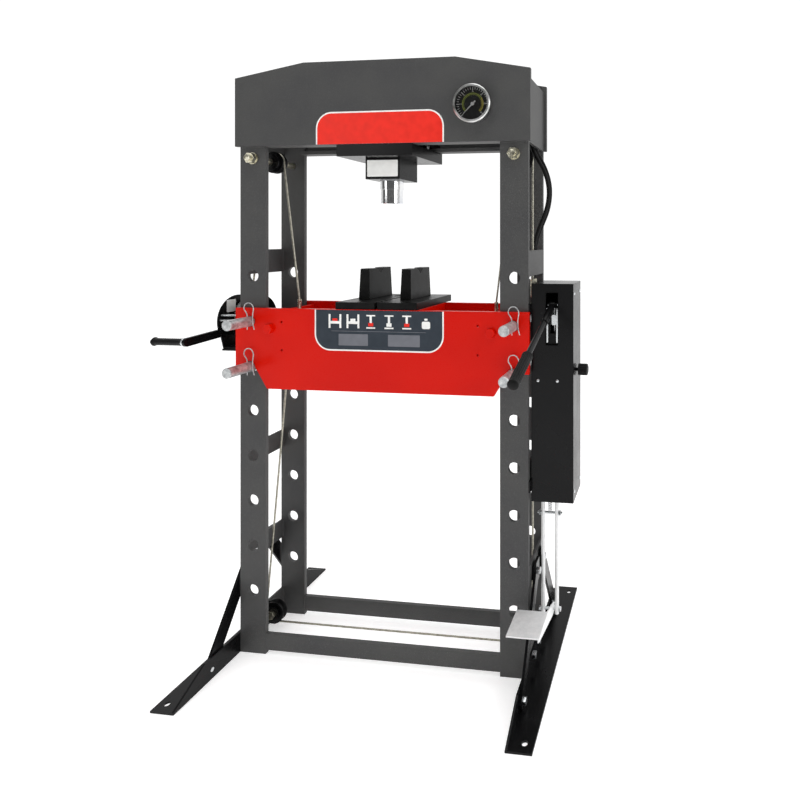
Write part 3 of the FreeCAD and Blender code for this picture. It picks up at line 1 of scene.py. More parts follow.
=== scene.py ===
import bmesh
import bpy
import math
import numpy as np
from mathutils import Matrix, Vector


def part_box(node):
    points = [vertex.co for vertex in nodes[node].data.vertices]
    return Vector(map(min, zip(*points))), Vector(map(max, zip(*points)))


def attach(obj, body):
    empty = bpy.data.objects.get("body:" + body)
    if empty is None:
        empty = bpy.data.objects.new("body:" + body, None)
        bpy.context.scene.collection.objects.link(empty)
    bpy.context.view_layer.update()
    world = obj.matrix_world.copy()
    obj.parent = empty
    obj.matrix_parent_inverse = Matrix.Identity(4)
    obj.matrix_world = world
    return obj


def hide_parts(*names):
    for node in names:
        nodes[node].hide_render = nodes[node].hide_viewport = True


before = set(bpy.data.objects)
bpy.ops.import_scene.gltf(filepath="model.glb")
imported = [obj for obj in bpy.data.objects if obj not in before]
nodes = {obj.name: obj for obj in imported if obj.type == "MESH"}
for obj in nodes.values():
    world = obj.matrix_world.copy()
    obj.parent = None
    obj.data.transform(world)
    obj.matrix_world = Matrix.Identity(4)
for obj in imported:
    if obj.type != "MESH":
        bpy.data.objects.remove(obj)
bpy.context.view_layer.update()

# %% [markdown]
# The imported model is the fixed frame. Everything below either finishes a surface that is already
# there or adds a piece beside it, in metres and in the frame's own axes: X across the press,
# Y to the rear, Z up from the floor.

MM = 0.001

# %% [markdown]
# Colours are written as the sRGB hex values that a paint chart gives. The shader works in linear
# light, so one function turns them over.


# %% Colour and shader helpers
def linear(code):
    """sRGB hex to linear: c/12.92 below 0.04045, else ((c + 0.055) / 1.055) to the power 2.4."""
    srgb = np.array([int(code[k:k + 2], 16) for k in (1, 3, 5)]) / 255
    flat = np.where(srgb > 0.04045, ((srgb + 0.055) / 1.055) ** 2.4, srgb / 12.92)
    return (*flat.tolist(), 1.0)


def add(tree, kind, inputs=None, output=0, **settings):
    """Adds one shader node and gives one of its outputs; an input is a value or a socket."""
    node = tree.nodes.new("ShaderNode" + kind)
    for name, value in settings.items():
        setattr(node, name, value)
    for name, value in (inputs or {}).items():
        if isinstance(value, bpy.types.NodeSocket):
            tree.links.new(value, node.inputs[name])
        else:
            node.inputs[name].default_value = value
    return node.outputs[output]


def start_material(name, **inputs):
    """A Principled material with its fixed values set on the shader's own sockets."""
    material = bpy.data.materials.new(name)
    material.use_nodes = True
    tree = material.node_tree
    shader = tree.nodes["Principled BSDF"]
    for key, value in inputs.items():
        shader.inputs[key.replace("_", " ")].default_value = value
    return material, tree, shader


def connect(tree, shader, **sockets):
    """Links patterns to the shader's inputs of the same names."""
    for key, socket in sockets.items():
        tree.links.new(socket, shader.inputs[key.replace("_", " ")])


def clouds(tree, size_mm, detail, rough=0.55, stretch=(1, 1, 1)):
    """Noise in the piece's own space, its largest blotches about size_mm across before any stretch."""
    space = add(tree, "Mapping", {"Vector": add(tree, "TexCoord", output="Object"), "Scale": stretch})
    return add(tree, "TexNoise", {"Vector": space, "Scale": 1000 / size_mm, "Detail": detail,
                                  "Roughness": rough})


def between(tree, pattern, low, high, first=0.3, last=0.7):
    """Two numbers or two colours, blended as the pattern goes from first to last."""
    span = {"Value": pattern, "From Min": first, "From Max": last}
    if isinstance(high, float):
        return add(tree, "MapRange", {**span, "To Min": low, "To Max": high})
    share = add(tree, "MapRange", span)
    return add(tree, "Mix", {0: share, 6: low, 7: high}, output=2, data_type="RGBA")


# %% [markdown]
# The frame is powder coated in a dark grey with a fine texture: the powder melts into small
# rounded grains, so the surface never gives a sharp reflection and shows tiny lighter flecks.
# The real grain is about 0.4 mm, too fine to show, so it is drawn at 1.6 mm.

# %% Finish: textured grey powder coat
def make_powder_coat():
    material, tree, shader = start_material("powder_coat_textured_grey", Roughness=0.55, IOR=1.5,
                                            Specular_IOR_Level=0.2)
    grain = clouds(tree, 1.6, 2.0)
    base = between(tree, clouds(tree, 160, 2.0), linear("#454546"), linear("#4d4d4c"))
    connect(tree, shader, Base_Color=between(tree, grain, base, linear("#646463"), 0.58, 0.72),
            Roughness=between(tree, grain, 0.44, 0.62),
            Normal=add(tree, "Bump", {"Height": grain, "Distance": 0.25 * MM, "Strength": 0.5}))
    return material


# %% [markdown]
# The bed is sprayed in a gloss red enamel. Wet enamel levels into a faint orange peel a few
# millimetres across, and a clear top coat gives it a second, sharper highlight.

# %% Finish: gloss red enamel
def make_red_enamel():
    material, tree, shader = start_material("gloss_enamel_red", Roughness=0.3, IOR=1.5,
                                            Specular_IOR_Level=0.1, Coat_Weight=0.06, Coat_Roughness=0.12)
    cloud = clouds(tree, 300, 2.0)
    peel = clouds(tree, 4, 1.0)
    connect(tree, shader, Base_Color=between(tree, cloud, linear("#cc0c00"), linear("#d91300")),
            Roughness=between(tree, peel, 0.26, 0.36),
            Normal=add(tree, "Bump", {"Height": peel, "Distance": 0.08 * MM, "Strength": 0.35}))
    return material


# %% [markdown]
# Feet, struts, cabinet, winch and cylinder parts are black: a gloss stoving enamel, a little
# uneven where the spray gun left it, so it mirrors bright surroundings in soft streaks.

# %% Finish: gloss black enamel
def make_black_enamel():
    material, tree, shader = start_material("gloss_enamel_black", Roughness=0.24, IOR=1.5,
                                            Specular_IOR_Level=0.14)
    cloud = clouds(tree, 120, 3.0)
    peel = clouds(tree, 3, 1.0)
    connect(tree, shader, Base_Color=between(tree, cloud, linear("#0b0b0c"), linear("#121213")),
            Roughness=between(tree, cloud, 0.2, 0.3),
            Normal=add(tree, "Bump", {"Height": peel, "Distance": 0.06 * MM, "Strength": 0.4}))
    return material


# %% [markdown]
# Pins, nuts, rods and the pedal are zinc plated steel. Zinc is a soft grey-white metal: it
# scatters its highlight, shows a faint crystalline cloud, and yellows slightly where passivated.
# A chromate film makes it less of a mirror, so drawn and dull pieces are only partly metallic.
# The crystals are about 0.2 mm across, and are drawn at 1.5 mm to show.

# %% Finish: zinc plate, bright, yellow, drawn and dull
def make_zinc(name, low, high, rough, metallic=1.0):
    material, tree, shader = start_material(name, Metallic=metallic, Roughness=rough)
    cloud = clouds(tree, 14, 4.0, 0.65)
    crystals = clouds(tree, 1.5, 2.0)
    connect(tree, shader, Base_Color=between(tree, cloud, linear(low), linear(high)),
            Roughness=between(tree, cloud, rough - 0.08, rough + 0.1),
            Normal=add(tree, "Bump", {"Height": crystals, "Distance": 0.03 * MM, "Strength": 0.5}))
    return material


# %% [markdown]
# The ram is ground and hard chromed. Grinding leaves rings too fine to see one by one, so they
# are drawn 1.2 mm apart: they only stretch the reflections along the ram. The gauge's bezel and
# the winch drum are turned steel, with the same rings but duller.

# %% Finish: ground chrome and turned steel
def make_turned(name, colour, rough, ring_mm, depth_mm):
    material, tree, shader = start_material(name, Metallic=1.0, Roughness=rough)
    rings = clouds(tree, ring_mm, 3.0, 0.7, (0.02, 0.02, 1))
    connect(tree, shader, Base_Color=between(tree, clouds(tree, 40, 2.0), linear(colour), linear("#f0f0f0")),
            Roughness=between(tree, rings, rough - 0.04, rough + 0.08),
            Normal=add(tree, "Bump", {"Height": rings, "Distance": depth_mm * MM, "Strength": 0.4}))
    return material


# %% [markdown]
# Galvanised wire rope is bright on the strands' crowns and dark with oil between them. The
# strands are real geometry, so the material only ages the colour.

# %% Finish: wire rope
def make_wire():
    material, tree, shader = start_material("galvanised_wire", Metallic=0.75, Roughness=0.42)
    cloud = clouds(tree, 9, 3.0)
    connect(tree, shader, Base_Color=between(tree, cloud, linear("#8f8c80"), linear("#c2bfb0")))
    return material


# %% [markdown]
# Hose covers, the lever's grip and the tooling are near black, and differ only in how they take
# the light: rubber is dull, moulded plastic is satin with a fine spark-eroded grain, and
# blackened steel has a dark metal sheen with grey clouds from the oxide bath. Their grain is a
# tenth of a millimetre or less, and is drawn at 0.8 to 2 mm to show.

# %% Finish: rubber, moulded plastic and black oxide steel
def make_dull_black(name, low, high, rough, grain_mm, depth_mm, metallic=0.0):
    material, tree, shader = start_material(name, Roughness=rough, Metallic=metallic,
                                            Specular_IOR_Level=0.15)
    cloud = clouds(tree, 30, 4.0, 0.6)
    grain = clouds(tree, grain_mm, 2.0)
    connect(tree, shader, Base_Color=between(tree, cloud, linear(low), linear(high)),
            Roughness=between(tree, cloud, rough - 0.07, rough + 0.08),
            Normal=add(tree, "Bump", {"Height": grain, "Distance": depth_mm * MM, "Strength": 0.5}))
    return material


# %% [markdown]
# Printed areas are vinyl film: flat colour with a slight sheen and a faint ripple from the
# metal below. The gauge's glass is clear, with faint smears that only touch its gloss.

# %% Finish: printed film, and the gauge's glass
def make_film(name, colour):
    material, tree, shader = start_material(name, Roughness=0.4, IOR=1.46, Specular_IOR_Level=0.25)
    ripple = clouds(tree, 25, 1.0)
    pale = tuple(min(1.0, channel * 1.12 + 0.004) for channel in linear(colour)[:3]) + (1.0,)
    connect(tree, shader, Base_Color=between(tree, ripple, linear(colour), pale),
            Roughness=between(tree, ripple, 0.35, 0.46))
    return material


def make_glass():
    material, tree, shader = start_material("gauge_glass_clear", Roughness=0.03, IOR=1.5,
                                            Transmission_Weight=1.0)
    connect(tree, shader, Roughness=between(tree, clouds(tree, 20, 2.0), 0.02, 0.06))
    return material


coat = make_powder_coat()
red = make_red_enamel()
black = make_black_enamel()
zinc = make_zinc("zinc_plate_white", "#c3c6c8", "#dcdfe0", 0.27)
zinc_yellow = make_zinc("zinc_plate_yellow", "#c2bda6", "#dedac8", 0.3)
zinc_pin = make_zinc("zinc_plate_drawn_bar", "#8f9395", "#dfe1e1", 0.4, 0.6)
bezel = make_turned("polished_bezel", "#7d7f7a", 0.3, 1.5, 0.03)
zinc_dull = make_zinc("zinc_plate_dull", "#e0e1e1", "#f0f0f0", 0.5, 0.35)
chrome = make_turned("ground_chrome", "#dcdee2", 0.1, 1.2, 0.02)
steel = make_turned("turned_steel", "#a8a9ab", 0.3, 1.5, 0.05)
wire = make_wire()
rubber = make_dull_black("hose_rubber", "#0b0b0b", "#141414", 0.55, 1.2, 0.05)
plastic = make_dull_black("moulded_black_plastic", "#0c0c0d", "#131314", 0.4, 0.8, 0.04)
oxide = make_dull_black("black_oxide_steel", "#0a0b0c", "#191918", 0.36, 2.0, 0.06, 0.35)
white_film = make_film("printed_film_white", "#f1f1ee")
red_film = make_film("printed_film_red", "#e62a1c")
navy_film = make_film("printed_film_slate", "#2c343d")
grey_film = make_film("printed_film_grey", "#6d6f76")
black_film = make_film("printed_film_black", "#0c0d0c")
green_film = make_film("printed_film_green", "#a9b650")
yellow_film = make_film("printed_film_yellow", "#e3d35c")
glass = make_glass()
print("finishes:", len(bpy.data.materials))

# %% [markdown]
# A new piece is a surface on a grid of two parameters. One function closes the grid round its
# axis, caps its two ends and lists the faces; the shapes below only have to place the points.


# %% Mesh helpers
def surface(points):
    """Vertices and faces of a (rows, columns, 3) grid: each row is a closed ring, joined to the next."""
    rows, columns = points.shape[:2]
    r = np.arange(rows - 1)[:, None] * columns
    c = np.arange(columns)[None, :]
    side = (c + 1) % columns
    quads = np.stack([r + c, r + side, r + columns + side, r + columns + c], -1)
    faces = quads.reshape(-1, 4).tolist()
    faces.append(list(range(columns - 1, -1, -1)))
    faces.append(list(range((rows - 1) * columns, rows * columns)))
    return points.reshape(-1, 3), faces


def make_piece(name, parts, material, body, replaced=(), smooth=True, angle=35):
    """One mesh from several (vertices, faces) pairs, finished, tied to its body and reported."""
    vertices, faces, offset = [], [], 0
    for points, polygons in parts:
        vertices.append(points)
        faces += [[index + offset for index in polygon] for polygon in polygons]
        offset += len(points)
    mesh = bpy.data.meshes.new(name)
    mesh.from_pydata(np.concatenate(vertices).tolist(), [], faces)
    mesh.validate()
    work = bmesh.new()
    work.from_mesh(mesh)
    bmesh.ops.recalc_face_normals(work, faces=work.faces)
    work.to_mesh(mesh)
    work.free()
    if smooth:
        mesh.shade_smooth()
        mesh.set_sharp_from_angle(angle=math.radians(angle))
    piece = bpy.data.objects.new(name, mesh)
    bpy.context.scene.collection.objects.link(piece)
    mesh.materials.append(material)
    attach(piece, body)
    if replaced:
        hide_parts(*replaced)
    print(name, "on", body, "with", len(mesh.polygons), "faces")
    return piece


def axes_for(axis):
    """Two unit vectors square to an axis and to each other."""
    along = np.asarray(axis, float)
    along = along / np.linalg.norm(along)
    helper = np.array([0.0, 0.0, 1.0]) if abs(along[2]) < 0.9 else np.array([1.0, 0.0, 0.0])
    side = np.cross(helper, along)
    side /= np.linalg.norm(side)
    return along, side, np.cross(along, side)


def lathe(profile, start, axis, count=48):
    """Turned shape: each (radius, distance) of the profile swept once round the axis."""
    along, side, other = axes_for(axis)
    radius, travel = np.asarray(profile, float).T
    turn = np.linspace(0, 2 * np.pi, count, endpoint=False)
    ring = np.cos(turn)[:, None] * side + np.sin(turn)[:, None] * other
    points = np.asarray(start) + travel[:, None, None] * along + radius[:, None, None] * ring[None]
    return surface(points)


def carried(path, radius, count=24):
    """Tube carried along a path: radius is a number, one per point, or a (points, count) array."""
    path = np.asarray(path, float)
    tangent = np.gradient(path, axis=0)
    tangent /= np.linalg.norm(tangent, axis=1)[:, None]
    side = np.empty_like(path)
    side[0] = axes_for(tangent[0])[1]
    for k in range(1, len(path)):
        moved = side[k - 1] - tangent[k] * np.dot(side[k - 1], tangent[k])
        side[k] = moved / np.linalg.norm(moved)
    other = np.cross(tangent, side)
    turn = np.linspace(0, 2 * np.pi, count, endpoint=False)
    if np.ndim(radius) == 1:
        radius = np.reshape(radius, (-1, 1))
    radius = np.broadcast_to(radius, (len(path), count))
    points = path[:, None] + radius[..., None] * (np.cos(turn)[None, :, None] * side[:, None]
                                                  + np.sin(turn)[None, :, None] * other[:, None])
    return surface(points)


def plate(outline, plane, level, thick):
    """Flat shape with straight walls: outline points in the plane's two axes, thick along the third."""
    outline = np.asarray(outline, float)
    order = {"XZ": (0, 2, 1), "YZ": (1, 2, 0)}[plane]
    rings = []
    for height in (level, level + thick):
        ring = np.zeros((len(outline), 3))
        ring[:, order[0]], ring[:, order[1]], ring[:, order[2]] = outline[:, 0], outline[:, 1], height
        rings.append(ring)
    return surface(np.stack(rings))


def rounded(low, high, radii, steps=8):
    """Rectangle with its own radius at each corner, from the low left one anticlockwise."""
    corners = ((low[0], low[1], 180), (high[0], low[1], 270), (high[0], high[1], 0), (low[0], high[1], 90))
    points = []
    for (x, z, first), radius in zip(corners, radii):
        turn = np.radians(first + np.linspace(0, 90, steps if radius > 0 else 1))
        inward_x = radius if x == low[0] else -radius
        inward_z = radius if z == low[1] else -radius
        points.append(np.stack([x + inward_x + radius * np.cos(turn),
                                z + inward_z + radius * np.sin(turn)], -1))
    return np.concatenate(points)


def corners_of(name):
    """Lowest and highest corner of a CAD node's box."""
    low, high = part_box(name)
    return np.array(low), np.array(high)


def points_of(mesh):
    """All vertices of a mesh as one (count, 3) array."""
    flat = np.empty(3 * len(mesh.vertices), np.float32)
    mesh.vertices.foreach_get("co", flat)
    return flat.reshape(-1, 3).astype(float)


print("helpers ready")

# %% [markdown]
# The camera stands to the right of the press at about the eye height of a seated person, level,
# with a wide lens. The lens is shifted so that the level camera still frames the whole press: that
# keeps the posts upright and parallel.

# %% Camera
FOCAL_MM = 24.24
SENSOR_MM = 36
LENS_SHIFT = (-0.2614, -0.2017)
EYE = (0.8772, -1.6344, 1.2905)
LEVEL = math.radians(90)
TURNED_LEFT = math.radians(6.61)

camera_data = bpy.data.cameras.new("camera")
camera_data.lens = FOCAL_MM
camera_data.sensor_width = SENSOR_MM
camera_data.shift_x, camera_data.shift_y = LENS_SHIFT
camera = bpy.data.objects.new("camera", camera_data)
bpy.context.scene.collection.objects.link(camera)
camera.location = EYE
camera.rotation_euler = (LEVEL, 0, TURNED_LEFT)
bpy.context.scene.camera = camera
print("camera at", tuple(round(value, 3) for value in camera.location))

# %% [markdown]
# Hoses and ropes come next, because their routes fix what else has room. Each hose is one smooth
# curve through the same route as its solid. A hose is stiff: it leaves both fittings straight
# and bows out between them.

# %% Hydraulic hoses
def route_curve(name, points):
    """Open NURBS spline of order 3 whose control points are the route."""
    curve = bpy.data.curves.new(name, "CURVE")
    curve.dimensions = "3D"
    curve.resolution_u = 16
    spline = curve.splines.new("NURBS")
    spline.points.add(len(points) - 1)
    weighted = np.concatenate([np.asarray(points), np.ones((len(points), 1))], 1)
    spline.points.foreach_set("co", weighted.ravel())
    spline.order_u = 3
    spline.use_endpoint_u = True
    piece = bpy.data.objects.new(name, curve)
    bpy.context.scene.collection.objects.link(piece)
    return piece


HOSE_RADIUS = 6.0 * MM
GAUGE_HOSE_ROUTE = [(0.445, 0.018, 1.140), (0.445, 0.018, 1.268), (0.466, 0.018, 1.328),
                    (0.489, 0.019, 1.382), (0.497, 0.020, 1.440), (0.484, 0.019, 1.500),
                    (0.452, 0.018, 1.552), (0.430, 0.018, 1.614), (0.410, 0.016, 1.669),
                    (0.367, 0.010, 1.700), (0.322, -0.008, 1.695), (0.302, -0.044, 1.683),
                    (0.302, -0.081, 1.683)]
CYLINDER_HOSE_ROUTE = [(0.445, 0.033, 1.140), (0.445, 0.033, 1.262), (0.468, 0.034, 1.326),
                       (0.493, 0.035, 1.386), (0.499, 0.035, 1.452), (0.482, 0.035, 1.514),
                       (0.450, 0.034, 1.568), (0.428, 0.033, 1.630), (0.396, 0.032, 1.688),
                       (0.322, 0.030, 1.722), (0.240, 0.022, 1.728), (0.160, 0.010, 1.712),
                       (0.094, 0.000, 1.698), (0.048, 0.000, 1.698)]


def line_of(name, points):
    """Points along the route's own spline, read from a copy with no bevel."""
    piece = route_curve(name + "_line", points)
    mesh = bpy.data.meshes.new_from_object(piece)
    bpy.data.objects.remove(piece)
    return points_of(mesh)


def length_of(line):
    return float(np.linalg.norm(np.diff(line, axis=0), axis=1).sum())


for hose_name, route in (("gauge_hose", GAUGE_HOSE_ROUTE), ("cylinder_hose", CYLINDER_HOSE_ROUTE)):
    hose = route_curve(hose_name + "_cover", route)
    hose.data.bevel_depth = HOSE_RADIUS
    hose.data.bevel_resolution = 5
    hose.data.use_fill_caps = True
    hose.data.materials.append(rubber)
    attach(hose, "frame")
    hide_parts(hose_name)
    hose_length = length_of(line_of(hose_name, route))
    print(hose_name, "length %.3f m" % hose_length)

# %% [markdown]
# A hose ends in a crimped ferrule: a steel sleeve pressed down in flat facets over the rubber.
# Sixteen sides with sharp edges show the facets of the crimping jaws.

# %% Hose ferrules
FERRULE_R = 8.2 * MM
CRIMPED_R = FERRULE_R - 0.8 * MM
FACETS = 16
ferrule_profile = [(FERRULE_R - 2.4 * MM, 0), (FERRULE_R, 0.8 * MM), (FERRULE_R, 5 * MM), (CRIMPED_R, 6 * MM),
                   (CRIMPED_R, 19 * MM), (FERRULE_R, 20 * MM), (FERRULE_R, 24 * MM),
                   (HOSE_RADIUS + 0.3 * MM, 25.5 * MM)]
ferrules = []
for route in (GAUGE_HOSE_ROUTE, CYLINDER_HOSE_ROUTE):
    for end, inner in ((route[0], route[1]), (route[-1], route[-2])):
        ferrules.append(lathe(ferrule_profile, end, np.array(inner) - np.array(end), FACETS))
make_piece("hose_ferrules", ferrules, zinc_yellow, "frame", angle=20)

# %% [markdown]
# Wire rope is six strands laid round a core. Seen in section, the outline is six bumps, and the
# bumps turn once per lay length, about six rope diameters. So the rope is one tube whose radius
# rises and falls with the angle round it minus the turn so far.

# %% Wire ropes
ROPE_RADIUS = 3.0 * MM
LAY_LENGTH = 38 * MM
STRANDS = 6
MESH_STEP = 1.7 * MM

HOIST_ROUTE = [(-0.5105, 0, 1.0388), (-0.4835, 0, 1.2470), (-0.4536, 0, 1.4950), (-0.4495, 0, 1.5270),
               (-0.4490, 0, 1.5530), (-0.4310, 0, 1.5711), (-0.4050, 0, 1.5713), (-0.3868, 0, 1.5530),
               (-0.3866, 0, 1.5330), (-0.3820, 0, 1.4940), (-0.3570, 0, 1.2950), (-0.3325, 0, 1.0920)]
LEVEL_ROUTE = [(-0.3735, 0, 0.8710), (-0.4110, 0, 0.4680), (-0.4456, 0, 0.1060), (-0.4496, 0, 0.0630),
               (-0.4490, 0, 0.0520), (-0.4310, 0, 0.0337), (-0.3820, 0, 0.0337), (-0.0100, 0, 0.0337),
               (0.3700, 0, 0.0337), (0.4310, 0, 0.0337), (0.4493, 0, 0.0520), (0.4493, 0, 0.1010),
               (0.4493, 0, 0.8000), (0.4493, 0, 1.5040), (0.4493, 0, 1.5530), (0.4310, 0, 1.5713),
               (0.4050, 0, 1.5713), (0.3868, 0, 1.5530), (0.3866, 0, 1.5330), (0.3820, 0, 1.4940),
               (0.3570, 0, 1.2950), (0.3325, 0, 1.0920)]


def even_steps(line, step):
    """The same line with points a fixed distance apart, by its running length."""
    run = np.concatenate([[0], np.cumsum(np.linalg.norm(np.diff(line, axis=0), axis=1))])
    marks = np.linspace(0, run[-1], int(run[-1] / step) + 1)
    return np.stack([np.interp(marks, run, line[:, k]) for k in range(3)], -1), marks


def laid_rope(line, step, count=24):
    """Six strands: radius = R (0.85 + 0.15 |cos(3 (angle - turn))|), turn growing with length."""
    path, marks = even_steps(line, step)
    angle = np.linspace(0, 2 * np.pi, count, endpoint=False)[None, :]
    turn = 2 * np.pi * marks[:, None] / LAY_LENGTH
    radius = ROPE_RADIUS * (0.85 + 0.15 * np.abs(np.cos(STRANDS / 2 * (angle - turn))))
    return carried(path, radius, count), path


for rope_name, route in (("hoist_rope", HOIST_ROUTE), ("levelling_rope", LEVEL_ROUTE)):
    rope_line = line_of(rope_name, route)
    part, path = laid_rope(rope_line, MESH_STEP)
    rope = make_piece(rope_name + "_strands", [part], wire, "frame", [rope_name], angle=60)

# %% [markdown]
# On the drum the rope lies in neat turns, one rope thickness apart: a helix, with the same
# strands.

# %% Rope turns on the drum
drum_low, drum_high = corners_of("rope_coil")
TURN_PITCH = 2 * ROPE_RADIUS + 0.2 * MM
coil_centre = (drum_low + drum_high) / 2
coil_radius = (drum_high[2] - drum_low[2]) / 2 - ROPE_RADIUS
coil_start = drum_low[0] + ROPE_RADIUS
coil_turns = int((drum_high[0] - drum_low[0] - 2 * ROPE_RADIUS) / TURN_PITCH)
around = np.linspace(0, 2 * np.pi * coil_turns, 60 * coil_turns)
helix = np.stack([coil_start + TURN_PITCH * around / (2 * np.pi),
                  coil_centre[1] + coil_radius * np.cos(around),
                  coil_centre[2] + coil_radius * np.sin(around)], -1)
wound, _ = laid_rope(helix, MESH_STEP, 16)
make_piece("rope_turns", [wound], wire, "drum", ["rope_coil"], angle=60)
print("drum turns:", coil_turns)

# %% [markdown]
# Sheet and bar edges are never perfectly sharp: cutting, grinding and paint leave a small
# rounding that catches the light as a thin line. Each plain CAD piece is copied, its loose
# triangles are merged, and a bevel with a real radius is put on its sharp edges.


# %% Eased edges on the CAD pieces
EDGE_ANGLE = math.radians(32)


def eased(node_name, width_mm, material, body="frame"):
    """A merged copy of a CAD node, with every edge sharper than EDGE_ANGLE rounded over width_mm."""
    mesh = nodes[node_name].data.copy()
    mesh.name = node_name + "_eased"
    work = bmesh.new()
    work.from_mesh(mesh)
    bmesh.ops.remove_doubles(work, verts=work.verts, dist=1e-5)
    bmesh.ops.dissolve_limit(work, angle_limit=math.radians(0.5), verts=work.verts, edges=work.edges)
    work.to_mesh(mesh)
    work.free()
    mesh.shade_smooth()
    mesh.set_sharp_from_angle(angle=EDGE_ANGLE)
    mesh.materials.clear()
    mesh.materials.append(material)
    piece = bpy.data.objects.new(node_name + "_eased", mesh)
    bpy.context.scene.collection.objects.link(piece)
    bevel = piece.modifiers.new("edge", "BEVEL")
    bevel.width = width_mm * MM
    bevel.segments = 2
    bevel.limit_method = "ANGLE"
    bevel.angle_limit = EDGE_ANGLE
    bevel.harden_normals = True
    bevel.use_clamp_overlap = True
    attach(piece, body)
    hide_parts(node_name)


EASED = [
    ("frame_paint", coat, 1.0, ["posts_left", "posts_right", "frame_crossbars", "crown_front_plate",
                                "crown_rear_plate", "crown_inner_plates"]),
    ("frame_paint", black, 0.8, ["axle_spacers"]),
    ("bed_paint", red, 1.2, ["bed_front_plate", "bed_rear_plate", "bed_ribs", "bed_tie_bolts"]),
    ("black_paint", black, 0.8, ["feet", "struts", "cylinder_carrier", "carrier_clamp_plate",
                                 "cylinder_barrel", "cylinder_head", "winch_frame", "side_brackets",
                                 "cabinet_shell", "cabinet_back", "oil_tank", "low_pulley_cheeks"]),
    ("cast_black", oxide, 1.2, ["arbor_plates", "v_blocks", "pump_block"]),
    ("zinc", zinc, 0.7, ["foot_bolts", "carrier_bolts"]),
    ("zinc", zinc_yellow, 0.7, ["pulley_axle_bolts", "rope_studs", "hose_elbows"]),
]
for slot_name, finish, width, names in EASED:
    for node_name in names:
        eased(node_name, width, finish)
print("eased:", sum(len(names) for *_, names in EASED))

# %% [markdown]
# The moving pieces are finished the same way, each on its own body. The rest keep their CAD
# surface and only take a finish.

# %% Finishes on the moving and small pieces
eased("pedal", 0.8, zinc_dull, body="pedal")
eased("crank", 0.8, black, body="crank")
eased("pump_lever", 0.5, black, body="lever")
KEPT = {"ram": chrome, "ram_nose": chrome, "gauge_case": bezel, "gauge_glass": glass,
        "gauge_dial": black_film, "gauge_needle": white_film, "winch_drum": steel, "pivot_pins": zinc,
        "pump_plunger": steel, "pedal_rods": zinc_dull}
for level in ("top", "low"):
    for side in ("left", "right"):
        KEPT["%s_pulley_%s" % (level, side)] = plastic
for level in ("upper", "lower"):
    for side in ("left", "right"):
        KEPT["bed_pin_%s_%s" % (level, side)] = zinc_pin
for node_name, finish in KEPT.items():
    nodes[node_name].data.materials.clear()
    nodes[node_name].data.materials.append(finish)
print("finished:", len(KEPT))

# %% [markdown]
# The red badge on the crown's front and the dark panel on the bed are printed film with a white
# border. They carry no words here: the badge stays bare, and the panel has plain pictures of
# presses made of bars and blocks.

# %% Badge on the crown
FILM = 0.25 * MM
BORDER = 4.5 * MM
CORNER = 50 * MM
INNER_CORNER = CORNER - BORDER
ARC_STEPS = 12
BADGE_X = (-0.199, 0.208)
BADGE_TOP = 1.675

crown_low, _ = corners_of("crown_front_plate")
crown_front = crown_low[1]
badge_low = (BADGE_X[0], crown_low[2] + 1 * MM)
outer = rounded(badge_low, (BADGE_X[1], BADGE_TOP), (0, 0, CORNER, CORNER), ARC_STEPS)
inner = rounded((badge_low[0] + BORDER, badge_low[1]), (BADGE_X[1] - BORDER, BADGE_TOP - BORDER),
                (0, 0, INNER_CORNER, INNER_CORNER), ARC_STEPS)
make_piece("crown_badge_border", [plate(outer, "XZ", crown_front - FILM, FILM)], white_film,
           "frame")
make_piece("crown_badge_field", [plate(inner, "XZ", crown_front - 2 * FILM, FILM)], red_film,
           "frame")

# %% [markdown]
# The panel hangs from the bed's top edge, so only its lower corners are round. Its films lie on
# each other: border, field, then the pictures, each one film thickness further out.

# %% Panel on the bed
bed_low, bed_high = corners_of("bed_front_plate")
bed_front = bed_low[1]
PANEL_X = (-0.202, 0.208)
PANEL_LOW = 0.951
panel_top = bed_high[2] - 1.5 * MM
outer = rounded((PANEL_X[0], PANEL_LOW), (PANEL_X[1], panel_top), (CORNER, CORNER, 0, 0), ARC_STEPS)
inner = rounded((PANEL_X[0] + BORDER, PANEL_LOW + BORDER), (PANEL_X[1] - BORDER, panel_top),
                (INNER_CORNER, INNER_CORNER, 0, 0), ARC_STEPS)
make_piece("bed_panel_border", [plate(outer, "XZ", bed_front - FILM, FILM)], white_film,
           "frame")
make_piece("bed_panel_field", [plate(inner, "XZ", bed_front - 2 * FILM, FILM)], navy_film,
           "frame")


def bar(x, z, wide, tall, radius=0.0):
    """Film rectangle on top of the field, by its middle and its two sizes."""
    shape = rounded((x - wide / 2, z - tall / 2), (x + wide / 2, z + tall / 2), (radius,) * 4, 4)
    return plate(shape, "XZ", bed_front - 3 * FILM, FILM)


def picture(middle, *bars):
    """Bars given in millimetres from the picture's middle: x, z, width, height, corner radius."""
    return [bar(middle + x * MM, PICTURE_Z + z * MM, wide * MM, tall * MM, radius * MM)
            for x, z, wide, tall, radius in bars]


